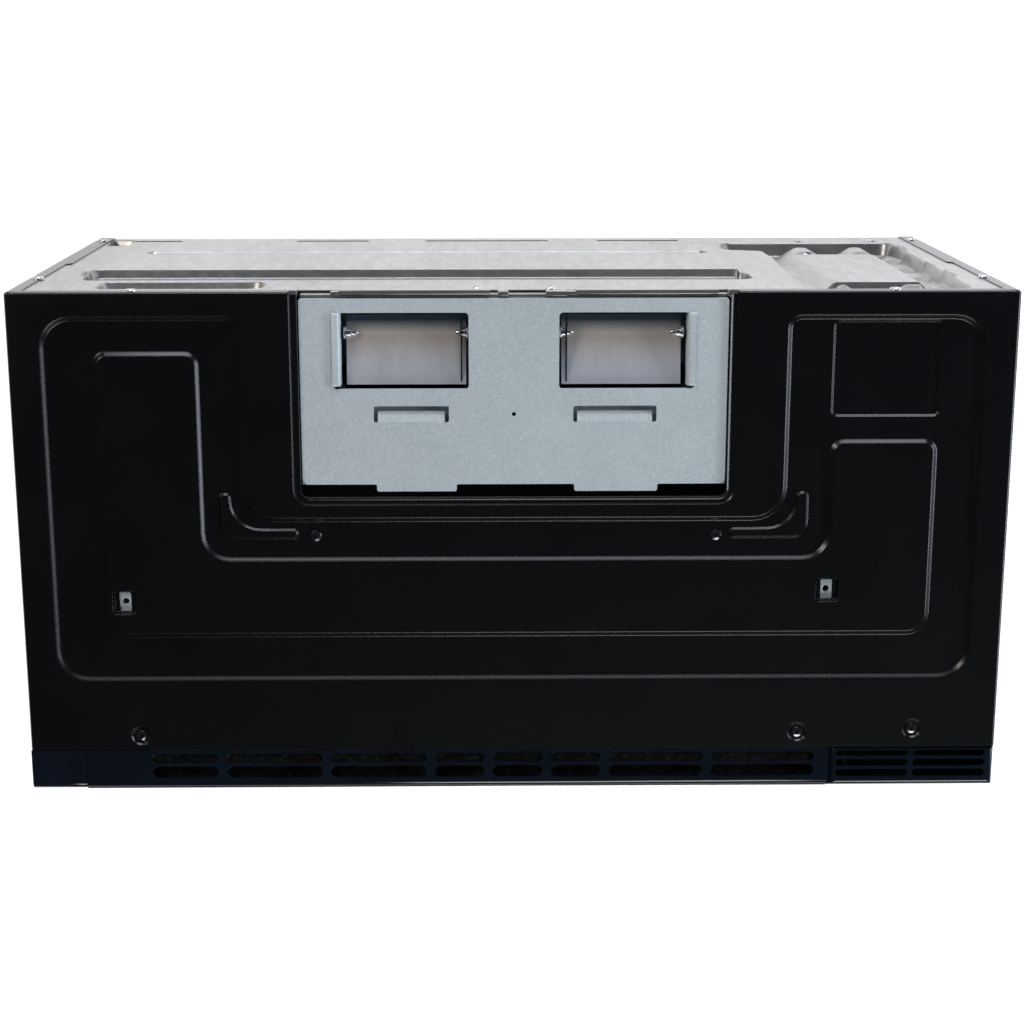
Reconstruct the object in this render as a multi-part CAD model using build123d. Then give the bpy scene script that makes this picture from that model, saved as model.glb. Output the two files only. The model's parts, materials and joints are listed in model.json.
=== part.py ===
from build123d import *
import math
import os

os.makedirs("parts", exist_ok=True)

# Millimetres. +X right as seen from the front, -Y front, +Z up. "Depth" is measured
# forwards from the wall plane. The origin is under the middle of the whole outline.

# ------------------------------------------------------------ whole machine
CASE_WIDTH = 759.0  # across the wrapper's sides
CASE_HEIGHT = 417.0  # underside to the top sheet
CASE_DEPTH = 393.7  # wall plane to the face of the vent grille
HANDLE_REACH = 41.0  # handle proud of the door face
WRAP_DEPTH = 361.0  # wall plane to the wrapper's front edge
SHEET = 1.0  # wrapper, back panel, base and front plate
FIT = 0.3  # between pieces that lie side by side
RUNNING_FIT = 0.06  # radial, shafts in their bores
SEAM = 2.3  # between the mouldings of the front

# ------------------------------------------------------------ fasteners
SCREW_HEAD_R = 4.5
SCREW_HEAD_H = 1.9
SCREW_SHANK_R = 1.8
SCREW_LENGTH = 8.0
SCREW_HOLE_R = 2.1
NUT_THREAD_R = 2.6  # quarter-inch cabinet bolt, tapped
NUT_COLLAR_R = 5.2
NUT_COLLAR_H = 7.0
NUT_PLATE = 24.0
NUT_PLATE_T = 2.0

# ------------------------------------------------------------ wrapper
WRAP_BEND = 3.0
REAR_SET = 2.2  # rear flanges ahead of the wall plane
REAR_FLANGE = 14.5
TOP_FLANGE = 14.0
FLANGE_NOTCH_Z = 217.0
FLANGE_NOTCH = 4.0
PRESS_DEPTH = 3.0  # large recess in the top
PRESS_SLOPE = 4.5
RECESS_SIDE = 23.5  # recess edge in from the case side
RECESS_BACK = 19.5
RECESS_FRONT = 305.0
RECESS_CORNER = 25.0
RECESS_NECK_HALF = 205.0
RECESS_NECK_DEPTH = 174.0
NECK_CORNER = 22.0
ISLAND_LEFT_SET = 39.0  # raised island in from the recess edge
ISLAND_LEFT_W = 81.0
ISLAND_LEFT_BACK = 46.0
ISLAND_RIGHT_SET = 33.0
ISLAND_RIGHT_W = 83.0
ISLAND_RIGHT_BACK = 114.0
ISLAND_FRONT_SET = 35.0
ISLAND_STRIP = 65.0
ISLAND_CORNER = 18.0
ISLAND_TIP_CORNER = 11.0
POCKET_BACK = 24.0
POCKET_FRONT = 98.0
POCKET_EXTRA = 1.8
POCKET_CORNER = 5.0
CORNER_PAD_SET = 4.5  # raised corner pads beside the blower bay
CORNER_PAD_W = 8.0
CORNER_PAD_X = 162.0
CORNER_PAD_BACK = 158.0
CORNER_PAD_H = 1.6
CORNER_PAD_SLOPE = 1.6
WELL_SIZE = 19.0  # cabinet bolt wells
WELL_DEPTH = 4.0
WELL_CORNER = 3.5
WELL_SLOPE = 1.2
WELL_WINDOW_X = 9.0
WELL_WINDOW_Y = 15.0
BOLT_PLACES = [(-300.3, 241.1), (242.1, 232.9)]
RECESS_SCREWS = [(-152.0, 189.0), (155.0, 189.0)]
DIMPLE_SCREWS = [(-292.6, 349.4), (222.9, 348.5), (313.4, 346.0)]
DIMPLE_R = 8.0
DIMPLE_DEPTH = 2.0
DIMPLE_SLOPE = 2.2
BAY_HALF = 162.4  # cut-out round the blower plate
BAY_FRONT = 158.8
BAY_CORNER = 6.0
BEAD_W = 6.0
BEAD_DEPTH = 1.4

# ------------------------------------------------------------ back panel
PAD_LEFT = -346.0
PAD_RIGHT = 184.0
PAD_BOTTOM = 104.0
PAD_TOP = 281.0
PAD_SLOPE = 3.0
PAD_CORNER = 12.0
LEDGE_LEFT = -330.0
LEDGE_RIGHT = 188.0
LEDGE_BOTTOM = 284.0
LEDGE_TOP = 364.0
LEDGE_DEPTH = 6.0
LEDGE_SLOPE = 4.0
LEDGE_CORNER = 14.0
GROOVE_LEFT = -314.0
GROOVE_RIGHT = -190.0
GROOVE_BOTTOM = 373.0
GROOVE_TOP = 397.0
GROOVE_DEPTH = 3.5
RIB_LEFT = -311.0
RIB_RIGHT = 167.0
RIB_BOTTOM = 160.0
RIB_TOP = 171.0
RIB_DEPTH = 2.0
DENT = [(-356.0, 32.0), (-334.0, 40.0), (-334.0, 90.0), (-356.0, 98.0)]
DENT_DEPTH = 4.0
DENT_SLOPE = 2.5
WELL_OUTLINE = [(190.0, 56.0), (350.0, 56.0), (350.0, 396.0), (219.0, 396.0), (224.0, 179.0),
                (222.0, 119.0), (190.0, 108.0)]
WELL_RADII = [14.0, 14.0, 16.0, 16.0, 30.0, 9.0, 10.0]
DRAW_DEPTH = 12.0
DRAW_SLOPE = 6.0
HUMPS = [(257.0, 360.0, 38.0, 48.0, 15.0), (311.0, 360.0, 38.0, 48.0, 15.0),
         (262.0, 84.0, 38.0, 32.0, 12.0), (312.0, 84.0, 38.0, 32.0, 12.0)]
HUMP_HEIGHT = 9.0
HUMP_SLOPE = 9.0
HOOK_SLOTS = [(-356.0, -299.0), (-194.0, -128.0), (-76.0, 37.0), (82.0, 157.0)]
HOOK_SLOT_Z = 25.0
HOOK_SLOT_H = 8.0
NOTCH_BOTTOM = 397.0  # top edge of the panel behind the blower
FLANGE_SCREWS = [(-371.0, 327.0), (371.0, 327.0), (-371.0, 32.0), (371.0, 32.0)]
TOP_EDGE_SCREWS = [(-286.0, 409.0), (286.0, 409.0)]
BLOWER_REAR_SCREWS = [(-28.0, 390.0), (28.0, 390.0)]
BASE_SCREWS = [(267.0, 32.0), (335.0, 32.0)]
SCREW_TAB = 22.0  # width of a turned-up screw tab

# ------------------------------------------------------------ oven cavity
CAVITY_X = -60.0
CAVITY_WIDTH = 522.0
CAVITY_HEIGHT = 236.0
CAVITY_DEPTH = 332.0
CAVITY_FLOOR = 75.0
CAVITY_T = 0.8
CAVITY_CORNER = 16.0
CAVITY_FLANGE = 12.0
FRAME_SET = 3.0  # front plate behind the wrapper's front edge
FRAME_FLANGE = 18.0
TRACK_R = 95.0  # roller track pressed into the floor
TRACK_W = 22.0
TRACK_DEPTH = 1.0
VENT_COUNT = 7
VENT_W = 4.0
VENT_H = 42.0
VENT_PITCH = 12.0
FEED_W = 84.0  # microwave feed opening
FEED_H = 56.0
FEED_DEPTH = 188.0
FEED_Z = 232.0
COVER_T = 0.5
COVER_LAP = 8.0

# ------------------------------------------------------------ turntable
TRAY_R = 157.5
TRAY_T = 5.0
TRAY_RIM = 12.0
ROLLER_R = 7.0
ROLLER_W = 7.0
ROLLER_COUNT = 3
RING_R = 84.0
RING_W = 8.0
RING_H = 5.0
STUB_R = 1.6
STUB_LENGTH = 15.0
COUPLER_R = 9.0
COUPLER_WING = 17.0
COUPLER_WING_W = 6.0
DRIVE_SHAFT_R = 3.5
DRIVE_SHAFT_DROP = 20.0
MOTOR_DISC_R = 26.0
MOTOR_DISC_H = 17.0
MOTOR_EAR_R = 6.0
MOTOR_EAR_SPAN = 34.0

# ------------------------------------------------------------ blower
PLATE_SINK = 2.5  # blower plate under the top sheet
PLATE_HALF = 161.0
PLATE_BACK = 7.5
PLATE_FRONT = 148.9
PLATE_TAB_FRONT = 154.4
PLATE_TABS = [(-104.4, -43.7), (46.0, 109.4)]
PLATE_SKIRT = 12.0
CHASSIS_BACK = 13.0
CHASSIS_FOOT = 9.0
OUTLET_INNER = 34.0
OUTLET_WIDTH = 102.0
OUTLET_BACK = 18.1
OUTLET_FRONT = 75.8
OUTLET_CORNER = 3.0
GUIDE_FOLD = 8.0
GUIDE_SLIT = 2.4
LANCE_BACK = 89.2
LANCE_FRONT = 101.0
LANCE_INSET = 14.0
LANCE_TAB_INSET = 3.5
LANCE_RISE = 3.0
PILOT_R = 1.6
PILOT_DEPTH = 94.9
SCROLL_T = 0.8
SCROLL_LIFT = 4.2  # scroll floor over the oven roof
SCROLL_FRONT = 146.0
SCROLL_ROOF_DROP = 6.0
SCROLL_FLOOR_R = 45.0
SCROLL_FRONT_R = 44.0
SCROLL_TONGUE_R = 3.0
WHEEL_R = 38.0
WHEEL_INNER_R = 29.0
WHEEL_DEPTH = 101.5
WHEEL_RISE = 48.0
WHEEL_GAP = 4.0
BLADE_COUNT = 26
BLADE_T = 0.9
BLADE_LEAN = 22.0
WHEEL_RIM_W = 3.0
WHEEL_WEB_T = 2.5
HUB_R = 9.0
HUB_W = 16.0
INLET_R = 30.0
BLOWER_SHAFT_R = 4.0
BLOWER_MOTOR_R = 34.0
BLOWER_MOTOR_W = 46.0
MOTOR_BELL_R = 24.0
MOTOR_BELL_W = 6.0
STRAP_W = 20.0
STRAP_T = 1.5

# ------------------------------------------------------------ vent grille
GRILLE_HEIGHT = 67.0
GRILLE_WALL = 2.2
GRILLE_NOSE = 6.0
END_CAP_W = 42.3
STRIP_FOOT = 6.0  # feet that reach back to the front plate
PANEL_W = 129.5
SLOT_WIDTHS = [52.0, 75.0, 75.0, 39.0, 39.0, 39.0, 74.0, 81.0]
SLOT_BRIDGE = 6.8
SLOT_START = -284.9
SLOT_ROWS = [(364.6, 372.4), (374.9, 384.7)]
PANEL_SLOT_COLUMNS = [(254.5, 311.5), (315.4, 372.4)]
PANEL_SLOT_ROWS = [(364.2, 369.0), (371.4, 377.1), (379.7, 385.8)]
FILTER_PAD_T = 10.0
FILTER_PAD_DROP = 6.0
FILTER_RAIL = 2.0

# ------------------------------------------------------------ door
DOOR_GAP = 3.0
DOOR_T = 31.7
DOOR_WALL = 3.0
DOOR_REAR_R = 12.0
DOOR_FRONT_R = 8.0
DOOR_EDGE_R = 3.0
SKIN_T = 0.8
STILE_W = 27.0
WINDOW_W = 456.0
WINDOW_H = 228.0
WINDOW_CORNER = 10.0
GLASS_LAP = 9.0
GLASS_T = 3.0
GLASS_FIT = 0.4
CHOKE_LAP = 4.0
CHOKE_W = 18.0
CHOKE_DEPTH = 19.0
PRESS_T = 1.0
SCREEN_LAP = 6.0
SCREEN_T = 0.5
INNER_GLASS_T = 3.0
CHOKE_COVER_T = 1.5
HINGE_IN = 13.0  # hinge axis in from the case side
HINGE_AHEAD = 17.7  # hinge axis ahead of the door face's back
PIN_R = 3.0
PIN_LENGTH = 13.0
HINGE_PLATE_T = 1.8
HINGE_PLATE_W = 26.0
HINGE_LEG = 48.0
LATCH_IN = 14.0
LATCH_W = 6.0
LATCH_BAR_T = 8.0
LATCH_SPAN = 150.0
LATCH_MARGIN = 22.0
LATCH_REACH = 21.0
HOOK_H = 15.0
HOOK_BARB = 3.0
LATCH_LIFT = 4.0
LATCH_CLEAR = 1.6
SPRING_T = 0.6
SPRING_RISE = 12.0
HANDLE_IN = 22.0
HANDLE_W = 15.0
HANDLE_T = 17.0
HANDLE_BEND = 19.0
HANDLE_MARGIN = 52.0
HANDLE_SCREW_R = 2.4

# ------------------------------------------------------------ control panel
PANEL_WALL = 2.5
PANEL_CORNER = 5.0
DISPLAY_W = 96.0
DISPLAY_H = 42.0
DISPLAY_DROP = 44.0
DISPLAY_T = 1.5
KEYPAD_W = 104.0
KEYPAD_H = 252.0
KEYPAD_T = 0.8
KEYPAD_DROP = 100.0
BOARD_T = 1.6
BOARD_W = 104.0
BOARD_H = 190.0
BOARD_STANDOFF = 15.0
STANDOFF_R = 3.0
RELAY_SIZE = 18.0

# ------------------------------------------------------------ underside
BASE_FLANGE = 15.0
BASE_REAR_TAB = 42.0
GREASE_W = 194.0
GREASE_D = 127.0
GREASE_T = 8.0
GREASE_X = [-232.0, 112.0]
GREASE_DEPTH = 200.0
GREASE_CORNER = 11.0
GREASE_LEDGE = 8.0
GREASE_BAR = 6.0
TRAY_FIT = 1.0
LIP_W = 24.0
LIP_REACH = 6.0
LAMP_X = -60.0
LAMP_DEPTH = 308.0
LAMP_W = 150.0
LAMP_D = 46.0
LAMP_CORNER = 9.0
LAMP_COVER_T = 2.0
LAMP_WELL = 4.0
BULB_R = 12.0
BULB_BASE_R = 8.0
BULB_SPAN = 42.0
BULB_LENGTH = 22.0

# ------------------------------------------------------------ electronics
GUIDE_T = 1.0  # waveguide sheet
GUIDE_REACH = 38.0
GUIDE_WIDTH = 96.0
GUIDE_HEIGHT = 78.0
ANTENNA_R = 9.0
ANTENNA_LENGTH = 24.0
TUBE_CORE_R = 20.0
FIN_COUNT = 7
FIN_T = 0.6
FIN_PITCH = 5.5
YOKE_W = 66.0
YOKE_D = 74.0
YOKE_H = 88.0
YOKE_T = 2.0
CORE_W = 92.0
CORE_D = 60.0
CORE_H = 76.0
COIL_OUT = 22.0
COIL_H = 44.0
TRANSFORMER_X = 292.0
TRANSFORMER_DEPTH = 165.0
FOOT_T = 2.0
CAPACITOR_X = 316.0
CAPACITOR_DEPTH = 286.0
CAPACITOR_W = 58.0
CAPACITOR_D = 36.0
CAPACITOR_H = 88.0
TERMINAL_W = 6.3
TERMINAL_H = 9.0
DIODE_R = 3.5
DIODE_LENGTH = 22.0
FAN_X = 288.0
FAN_Z = 226.0
FAN_DEPTH = 88.0
FAN_OPEN_R = 55.0
FAN_RING_L = 16.0
FAN_RING_T = 2.0
FAN_BLADES = 5
FAN_TIP_GAP = 3.0
FAN_HUB_R = 13.0
FAN_HUB_L = 14.0
FAN_PITCH = 32.0
FAN_BLADE_T = 1.6
FAN_SHAFT_R = 2.5
FAN_MOTOR_W = 52.0
FAN_MOTOR_H = 44.0
FAN_MOTOR_L = 24.0
FAN_MOTOR_BACK = 24.0
FAN_ARM = 8.0
PARTITION_W = 132.0
PARTITION_TOP = 300.0
NOISE_W = 88.0
NOISE_H = 66.0
NOISE_Z = 350.0
CHOKE_COIL_R = 13.0
CHOKE_COIL_H = 14.0
FUSE_R = 3.2
FUSE_LENGTH = 20.0
THERMOSTAT_R = 8.0
THERMOSTAT_H = 8.0
LOCK_W = 34.0
LOCK_D = 26.0
LOCK_MARGIN = 18.0
SWITCH_W = 10.0
SWITCH_D = 22.0
SWITCH_H = 28.0
LAMP_SOCKET_R = 11.0
LAMP_BULB_R = 9.0
OVEN_LAMP_DEPTH = 262.0
OVEN_LAMP_DROP = 32.0

# ------------------------------------------------------------ worked-out places
HALF = CASE_WIDTH / 2
BACK_Y = (CASE_DEPTH + HANDLE_REACH) / 2
TOP = CASE_HEIGHT
INSIDE = HALF - SHEET - FIT
FRAME_FACE = WRAP_DEPTH - FRAME_SET
FRAME_REAR = FRAME_FACE - SHEET
PANEL_SET = REAR_SET + SHEET
MOULD_REAR = WRAP_DEPTH + FIT
RECESS_HALF = HALF - RECESS_SIDE
CAVITY_LEFT = CAVITY_X - CAVITY_WIDTH / 2
CAVITY_RIGHT = CAVITY_X + CAVITY_WIDTH / 2
CAVITY_ROOF = CAVITY_FLOOR + CAVITY_HEIGHT
CAVITY_REAR = FRAME_REAR - CAVITY_DEPTH
CAVITY_MID_DEPTH = FRAME_REAR - CAVITY_DEPTH / 2
ROOF_OUT = CAVITY_ROOF + CAVITY_T
WALL_OUT = CAVITY_RIGHT + CAVITY_T
PLATE_TOP = TOP - PLATE_SINK
PLATE_UNDER = PLATE_TOP - SHEET
SCROLL_FLOOR = ROOF_OUT + SCROLL_LIFT
SCROLL_ROOF = PLATE_UNDER - SCROLL_ROOF_DROP
WHEEL_Z = SCROLL_FLOOR + WHEEL_RISE
WHEEL_LENGTH = OUTLET_WIDTH - 2 * WHEEL_GAP
GRILLE_BOTTOM = TOP - GRILLE_HEIGHT
PANEL_LEFT = HALF - PANEL_W
GRILLE_RIGHT = PANEL_LEFT - SEAM
GRILLE_LEFT = -HALF + END_CAP_W
DOOR_LEFT = -HALF
DOOR_RIGHT = PANEL_LEFT - SEAM
DOOR_BOTTOM = DOOR_GAP
DOOR_TOP = GRILLE_BOTTOM - DOOR_GAP
DOOR_FACE = CASE_DEPTH
DOOR_REAR = DOOR_FACE - DOOR_T
FRAME_MOULD_FACE = DOOR_FACE - SKIN_T
HINGE_X = -HALF + HINGE_IN
HINGE_DEPTH = DOOR_FACE - HINGE_AHEAD
LATCH_X = DOOR_RIGHT - LATCH_IN
LATCH_BACK = DOOR_REAR + FIT
HOOK_TIP = DOOR_REAR - LATCH_REACH
CAVITY_MID_Z = CAVITY_FLOOR + CAVITY_HEIGHT / 2
LATCH_LOW = CAVITY_MID_Z - LATCH_SPAN / 2
LATCH_HIGH = CAVITY_MID_Z + LATCH_SPAN / 2
HANDLE_X = DOOR_RIGHT - HANDLE_IN
HANDLE_MID = DOOR_FACE + HANDLE_REACH - HANDLE_T / 2
HANDLE_LOW = DOOR_BOTTOM + HANDLE_MARGIN
HANDLE_HIGH = DOOR_TOP - HANDLE_MARGIN
PANEL_MID = PANEL_LEFT + PANEL_W / 2
DISPLAY_Z = TOP - DISPLAY_DROP - DISPLAY_H / 2
KEYPAD_Z = TOP - KEYPAD_DROP - KEYPAD_H / 2
ROLLER_Z = CAVITY_FLOOR + FIT + ROLLER_R
TRAY_UNDER = ROLLER_Z + ROLLER_R + FIT
ROLLER_CENTRE_R = RING_R + RING_W / 2 + FIT + ROLLER_W / 2 + 1.0
FEED_X = WALL_OUT + GUIDE_REACH
TUBE_X = FEED_X + YOKE_W / 2 + 4.0


# ------------------------------------------------------------ helpers
def y_at(depth):
    """Y of a plane at a depth ahead of the wall."""
    return BACK_Y - depth


def block(x0, x1, d0, d1, z0, z1):
    """Rectangular block between two X, two depths and two heights."""
    size = Box(x1 - x0, d1 - d0, z1 - z0)
    return Pos((x0 + x1) / 2, y_at((d0 + d1) / 2), (z0 + z1) / 2) * size


def outline(points, radii):
    """Closed face with one corner radius for each point."""
    return make_face(FilletPolyline(*points, radius=radii, close=True))


def rectangle(x0, x1, y0, y1, radius):
    """Rounded rectangle between corners."""
    return Pos((x0 + x1) / 2, (y0 + y1) / 2) * RectangleRounded(x1 - x0, y1 - y0, radius)


def in_plan(points, radii):
    """Outline in plan from (x, depth) points."""
    return outline([(x, y_at(depth)) for x, depth in points], radii)


def plan_rectangle(x0, x1, d0, d1, radius):
    """Rounded rectangle in plan between two X and two depths."""
    return rectangle(x0, x1, y_at(d1), y_at(d0), radius)


def upright(shape):
    """Turn a sheet drawn in (x, height) so that its first face looks at the wall."""
    return Pos(0, BACK_Y, 0) * Rot(90, 0, 0) * shape


def prism(profile, start, finish):
    """Straight solid over a profile drawn flat, between two levels."""
    return Pos(0, 0, start) * extrude(profile, amount=finish - start)


def frustum(profile, start, finish, inset):
    """Solid whose profile draws in by an inset from the first level to the second."""
    near = Pos(0, 0, start) * profile
    far = Pos(0, 0, finish) * offset(profile, amount=-inset)
    return loft([near, far], ruled=True)


def press_in(sheet, profile, level, inward, depth, slope):
    """Press a recess into a sheet whose outer face is at a level."""
    back = frustum(offset(profile, amount=SHEET), level, level + inward * (depth + SHEET),
                   slope * (depth + SHEET) / depth)
    pocket = frustum(profile, level, level + inward * depth, slope)
    return sheet + back - pocket


def press_out(sheet, profile, level, inward, height, slope):
    """Raise an island from a sheet whose outer face is at a level."""
    crown = frustum(profile, level + inward * SHEET / 2, level - inward * height, slope)
    hollow = frustum(offset(profile, amount=-SHEET), level + inward * SHEET,
                     level - inward * (height - SHEET), slope)
    return sheet + crown - hollow


def along_x(points, radii, x0, x1):
    """Profile of (depth, height) points run along X."""
    profile = outline([(y_at(depth), z) for depth, z in points], radii)
    return Pos(x0, 0, 0) * extrude(Plane.YZ * profile, amount=x1 - x0)


def along_depth(profile, d0, d1):
    """Profile drawn in (x, height) run forwards between two depths."""
    return Pos(0, y_at(d0), 0) * extrude(Plane.XZ * profile, amount=d1 - d0)


def rod_x(radius, x0, x1, depth, z):
    """Round bar along X."""
    return Pos((x0 + x1) / 2, y_at(depth), z) * Rot(0, 90, 0) * Cylinder(radius, x1 - x0)


def rod_y(radius, x, d0, d1, z):
    """Round bar along the depth."""
    return Pos(x, y_at((d0 + d1) / 2), z) * Rot(90, 0, 0) * Cylinder(radius, d1 - d0)


def rod_z(radius, x, depth, z0, z1):
    """Upright round bar."""
    return Pos(x, y_at(depth), (z0 + z1) / 2) * Cylinder(radius, z1 - z0)


def slot_z(x0, x1, d0, d1, z0, z1):
    """Upright cutter with round ends, long way along X."""
    profile = plan_rectangle(x0, x1, d0, d1, (d1 - d0) / 2 - 0.01)
    return prism(profile, z0, z1)


# ------------------------------------------------------------ screws
def screw():
    """Domed sheet-metal screw, seat at the origin, head up."""
    head = Pos(0, 0, SCREW_HEAD_H / 2) * Cylinder(SCREW_HEAD_R, SCREW_HEAD_H)
    head = chamfer(head.edges().sort_by(Axis.Z)[-1], SCREW_HEAD_H / 2)
    shank = Pos(0, 0, -SCREW_LENGTH / 2) * Cylinder(SCREW_SHANK_R, SCREW_LENGTH)
    return head + shank


def top_screw_seats():
    """Seats of the screws in the top sheet: x, depth and height."""
    low = [(x, depth, TOP - PRESS_DEPTH) for x, depth in RECESS_SCREWS]
    return low + [(x, depth, TOP - DIMPLE_DEPTH) for x, depth in DIMPLE_SCREWS]


def make_top_screws():
    return Compound([Pos(x, y_at(depth), z) * screw() for x, depth, z in top_screw_seats()])


def make_rear_screws():
    outer = [(x, REAR_SET, z) for x, z in FLANGE_SCREWS + TOP_EDGE_SCREWS]
    inner = [(x, PANEL_SET, z) for x, z in BLOWER_REAR_SCREWS + BASE_SCREWS]
    return Compound([Pos(x, y_at(d), z) * Rot(-90, 0, 0) * screw() for x, d, z in outer + inner])


def rear_holes(places, d0, d1):
    """Clearance holes through upright sheets at the wall side."""
    return [rod_y(SCREW_HOLE_R, x, d0, d1, z) for x, z in places]


# ------------------------------------------------------------ wrapper
def recess_profile():
    """Horseshoe recess round the blower bay."""
    side = RECESS_HALF
    neck = RECESS_NECK_HALF
    points = [(-side, RECESS_FRONT), (side, RECESS_FRONT), (side, RECESS_BACK), (neck, RECESS_BACK),
              (neck, RECESS_NECK_DEPTH), (-neck, RECESS_NECK_DEPTH), (-neck, RECESS_BACK),
              (-side, RECESS_BACK)]
    big = RECESS_CORNER
    tip = ISLAND_TIP_CORNER
    return in_plan(points, [big, big, big, tip, NECK_CORNER, NECK_CORNER, tip, big])


def island_edges():
    """X of the raised island's four long edges."""
    left = -RECESS_HALF + ISLAND_LEFT_SET
    right = RECESS_HALF - ISLAND_RIGHT_SET
    return left, left + ISLAND_LEFT_W, right - ISLAND_RIGHT_W, right


def island_profile():
    """Raised horseshoe inside the recess, left arm longer."""
    left, left_in, right_in, right = island_edges()
    front = RECESS_FRONT - ISLAND_FRONT_SET
    inner = front - ISLAND_STRIP
    points = [(left, front), (right, front), (right, ISLAND_RIGHT_BACK), (right_in, ISLAND_RIGHT_BACK),
              (right_in, inner), (left_in, inner), (left_in, ISLAND_LEFT_BACK), (left, ISLAND_LEFT_BACK)]
    big = ISLAND_CORNER
    tip = ISLAND_TIP_CORNER
    return in_plan(points, [big, big, tip, tip, big, big, tip, tip])


def corner_pad(side):
    """Small raised angle that follows a rear corner of the recess."""
    inner = RECESS_NECK_HALF + CORNER_PAD_SET
    outer = inner + CORNER_PAD_W
    near = RECESS_NECK_DEPTH + CORNER_PAD_SET
    far = near + CORNER_PAD_W
    points = [(side * outer, far), (side * CORNER_PAD_X, far), (side * CORNER_PAD_X, near),
              (side * inner, near), (side * inner, CORNER_PAD_BACK), (side * outer, CORNER_PAD_BACK)]
    tip = CORNER_PAD_W / 2 - 0.2
    return in_plan(points, [NECK_CORNER, tip, tip, NECK_CORNER - CORNER_PAD_W, tip, tip])


def bay_path(out):
    """Path round the blower bay at a distance outside its edge."""
    half = BAY_HALF + out
    front = BAY_FRONT + out
    points = [(-half, REAR_SET), (-half, front), (half, front), (half, REAR_SET)]
    places = [(x, y_at(depth), TOP) for x, depth in points]
    corner = BAY_CORNER + out
    return FilletPolyline(*places, radius=[corner, corner])


def bead_pipe(extra):
    """Round bar whose lower side forms the bead along the bay's edge."""
    path = bay_path(BEAD_W / 2)
    half = BEAD_W / 2
    radius = (half * half + BEAD_DEPTH * BEAD_DEPTH) / (2 * BEAD_DEPTH)
    lift = radius - BEAD_DEPTH
    section = Plane(origin=path @ 0, z_dir=path % 0) * Circle(radius + extra)
    return Pos(0, 0, lift) * sweep(section, path=path)


def make_outer_wrap():
    """Top and both sides bent from one sheet, with the pressed top."""
    bend = [0, 0, WRAP_BEND, WRAP_BEND]
    outer = outline([(-HALF, 0), (HALF, 0), (HALF, TOP), (-HALF, TOP)], bend)
    skin = HALF - SHEET
    inner = outline([(-skin, -SHEET), (skin, -SHEET), (skin, TOP - SHEET), (-skin, TOP - SHEET)],
                    [0, 0, WRAP_BEND - SHEET, WRAP_BEND - SHEET])
    wrap = along_depth(outer - inner, REAR_SET, WRAP_DEPTH)
    border = [(-HALF, 0), (-HALF + REAR_FLANGE, 0), (-HALF + REAR_FLANGE, FLANGE_NOTCH_Z),
              (-HALF + REAR_FLANGE - FLANGE_NOTCH, FLANGE_NOTCH_Z + FLANGE_NOTCH),
              (-HALF + REAR_FLANGE - FLANGE_NOTCH, TOP - TOP_FLANGE),
              (-BAY_HALF - BEAD_W, TOP - TOP_FLANGE), (-BAY_HALF - BEAD_W, TOP), (-HALF, TOP)]
    flange = outline(border, [0, 0, 0, 0, 0, 0, 0, WRAP_BEND])
    flange = along_depth(flange, REAR_SET, REAR_SET + SHEET)
    wrap = wrap + flange + mirror(flange, about=Plane.YZ)
    wrap = press_in(wrap, recess_profile(), TOP, -1, PRESS_DEPTH, PRESS_SLOPE)
    floor = TOP - PRESS_DEPTH
    wrap = press_out(wrap, island_profile(), floor, -1, PRESS_DEPTH, PRESS_SLOPE)
    left, left_in, right_in, right = island_edges()
    pocket = plan_rectangle(right_in, right, POCKET_BACK, POCKET_FRONT, POCKET_CORNER)
    wrap = press_in(wrap, pocket, floor, -1, POCKET_EXTRA, POCKET_EXTRA)
    for side in (-1, 1):
        wrap = press_out(wrap, corner_pad(side), floor, -1, CORNER_PAD_H, CORNER_PAD_SLOPE)
    for x, depth in BOLT_PLACES:
        half = WELL_SIZE / 2
        well = plan_rectangle(x - half, x + half, depth - half, depth + half, WELL_CORNER)
        wrap = press_in(wrap, well, TOP, -1, WELL_DEPTH, WELL_SLOPE)
        wrap -= Pos(x, y_at(depth), TOP - WELL_DEPTH) * Box(WELL_WINDOW_X, WELL_WINDOW_Y, 4 * SHEET)
    for x, depth in DIMPLE_SCREWS:
        dimple = Pos(x, y_at(depth)) * Circle(DIMPLE_R)
        wrap = press_in(wrap, dimple, TOP, -1, DIMPLE_DEPTH, DIMPLE_SLOPE)
    under_top = block(-HALF, HALF, REAR_SET, WRAP_DEPTH, TOP / 2, TOP - SHEET / 2)
    wrap = wrap + (bead_pipe(SHEET) & under_top) - bead_pipe(0)
    bay = plan_rectangle(-BAY_HALF, BAY_HALF, -BAY_FRONT, BAY_FRONT, BAY_CORNER)
    wrap -= prism(bay, TOP - TOP_FLANGE - SHEET, TOP + SHEET)
    for x, depth, z in top_screw_seats():
        wrap -= rod_z(SCREW_HOLE_R, x, depth, z - 3 * SHEET, z + SHEET)
    return wrap - rear_holes(FLANGE_SCREWS + TOP_EDGE_SCREWS, 0, REAR_SET + 2 * SHEET)


def make_bolt_nuts():
    """Two tapped nut plates under the bolt wells."""
    top = TOP - WELL_DEPTH - SHEET
    nuts = []
    for x, depth in BOLT_PLACES:
        half = NUT_PLATE / 2
        plate = block(x - half, x + half, depth - half, depth + half, top - NUT_PLATE_T, top)
        collar = rod_z(NUT_COLLAR_R, x, depth, top - NUT_COLLAR_H, top)
        nuts.append(plate + collar - rod_z(NUT_THREAD_R, x, depth, top - NUT_COLLAR_H - 1, top + 1))
    return Compound(nuts)


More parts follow.
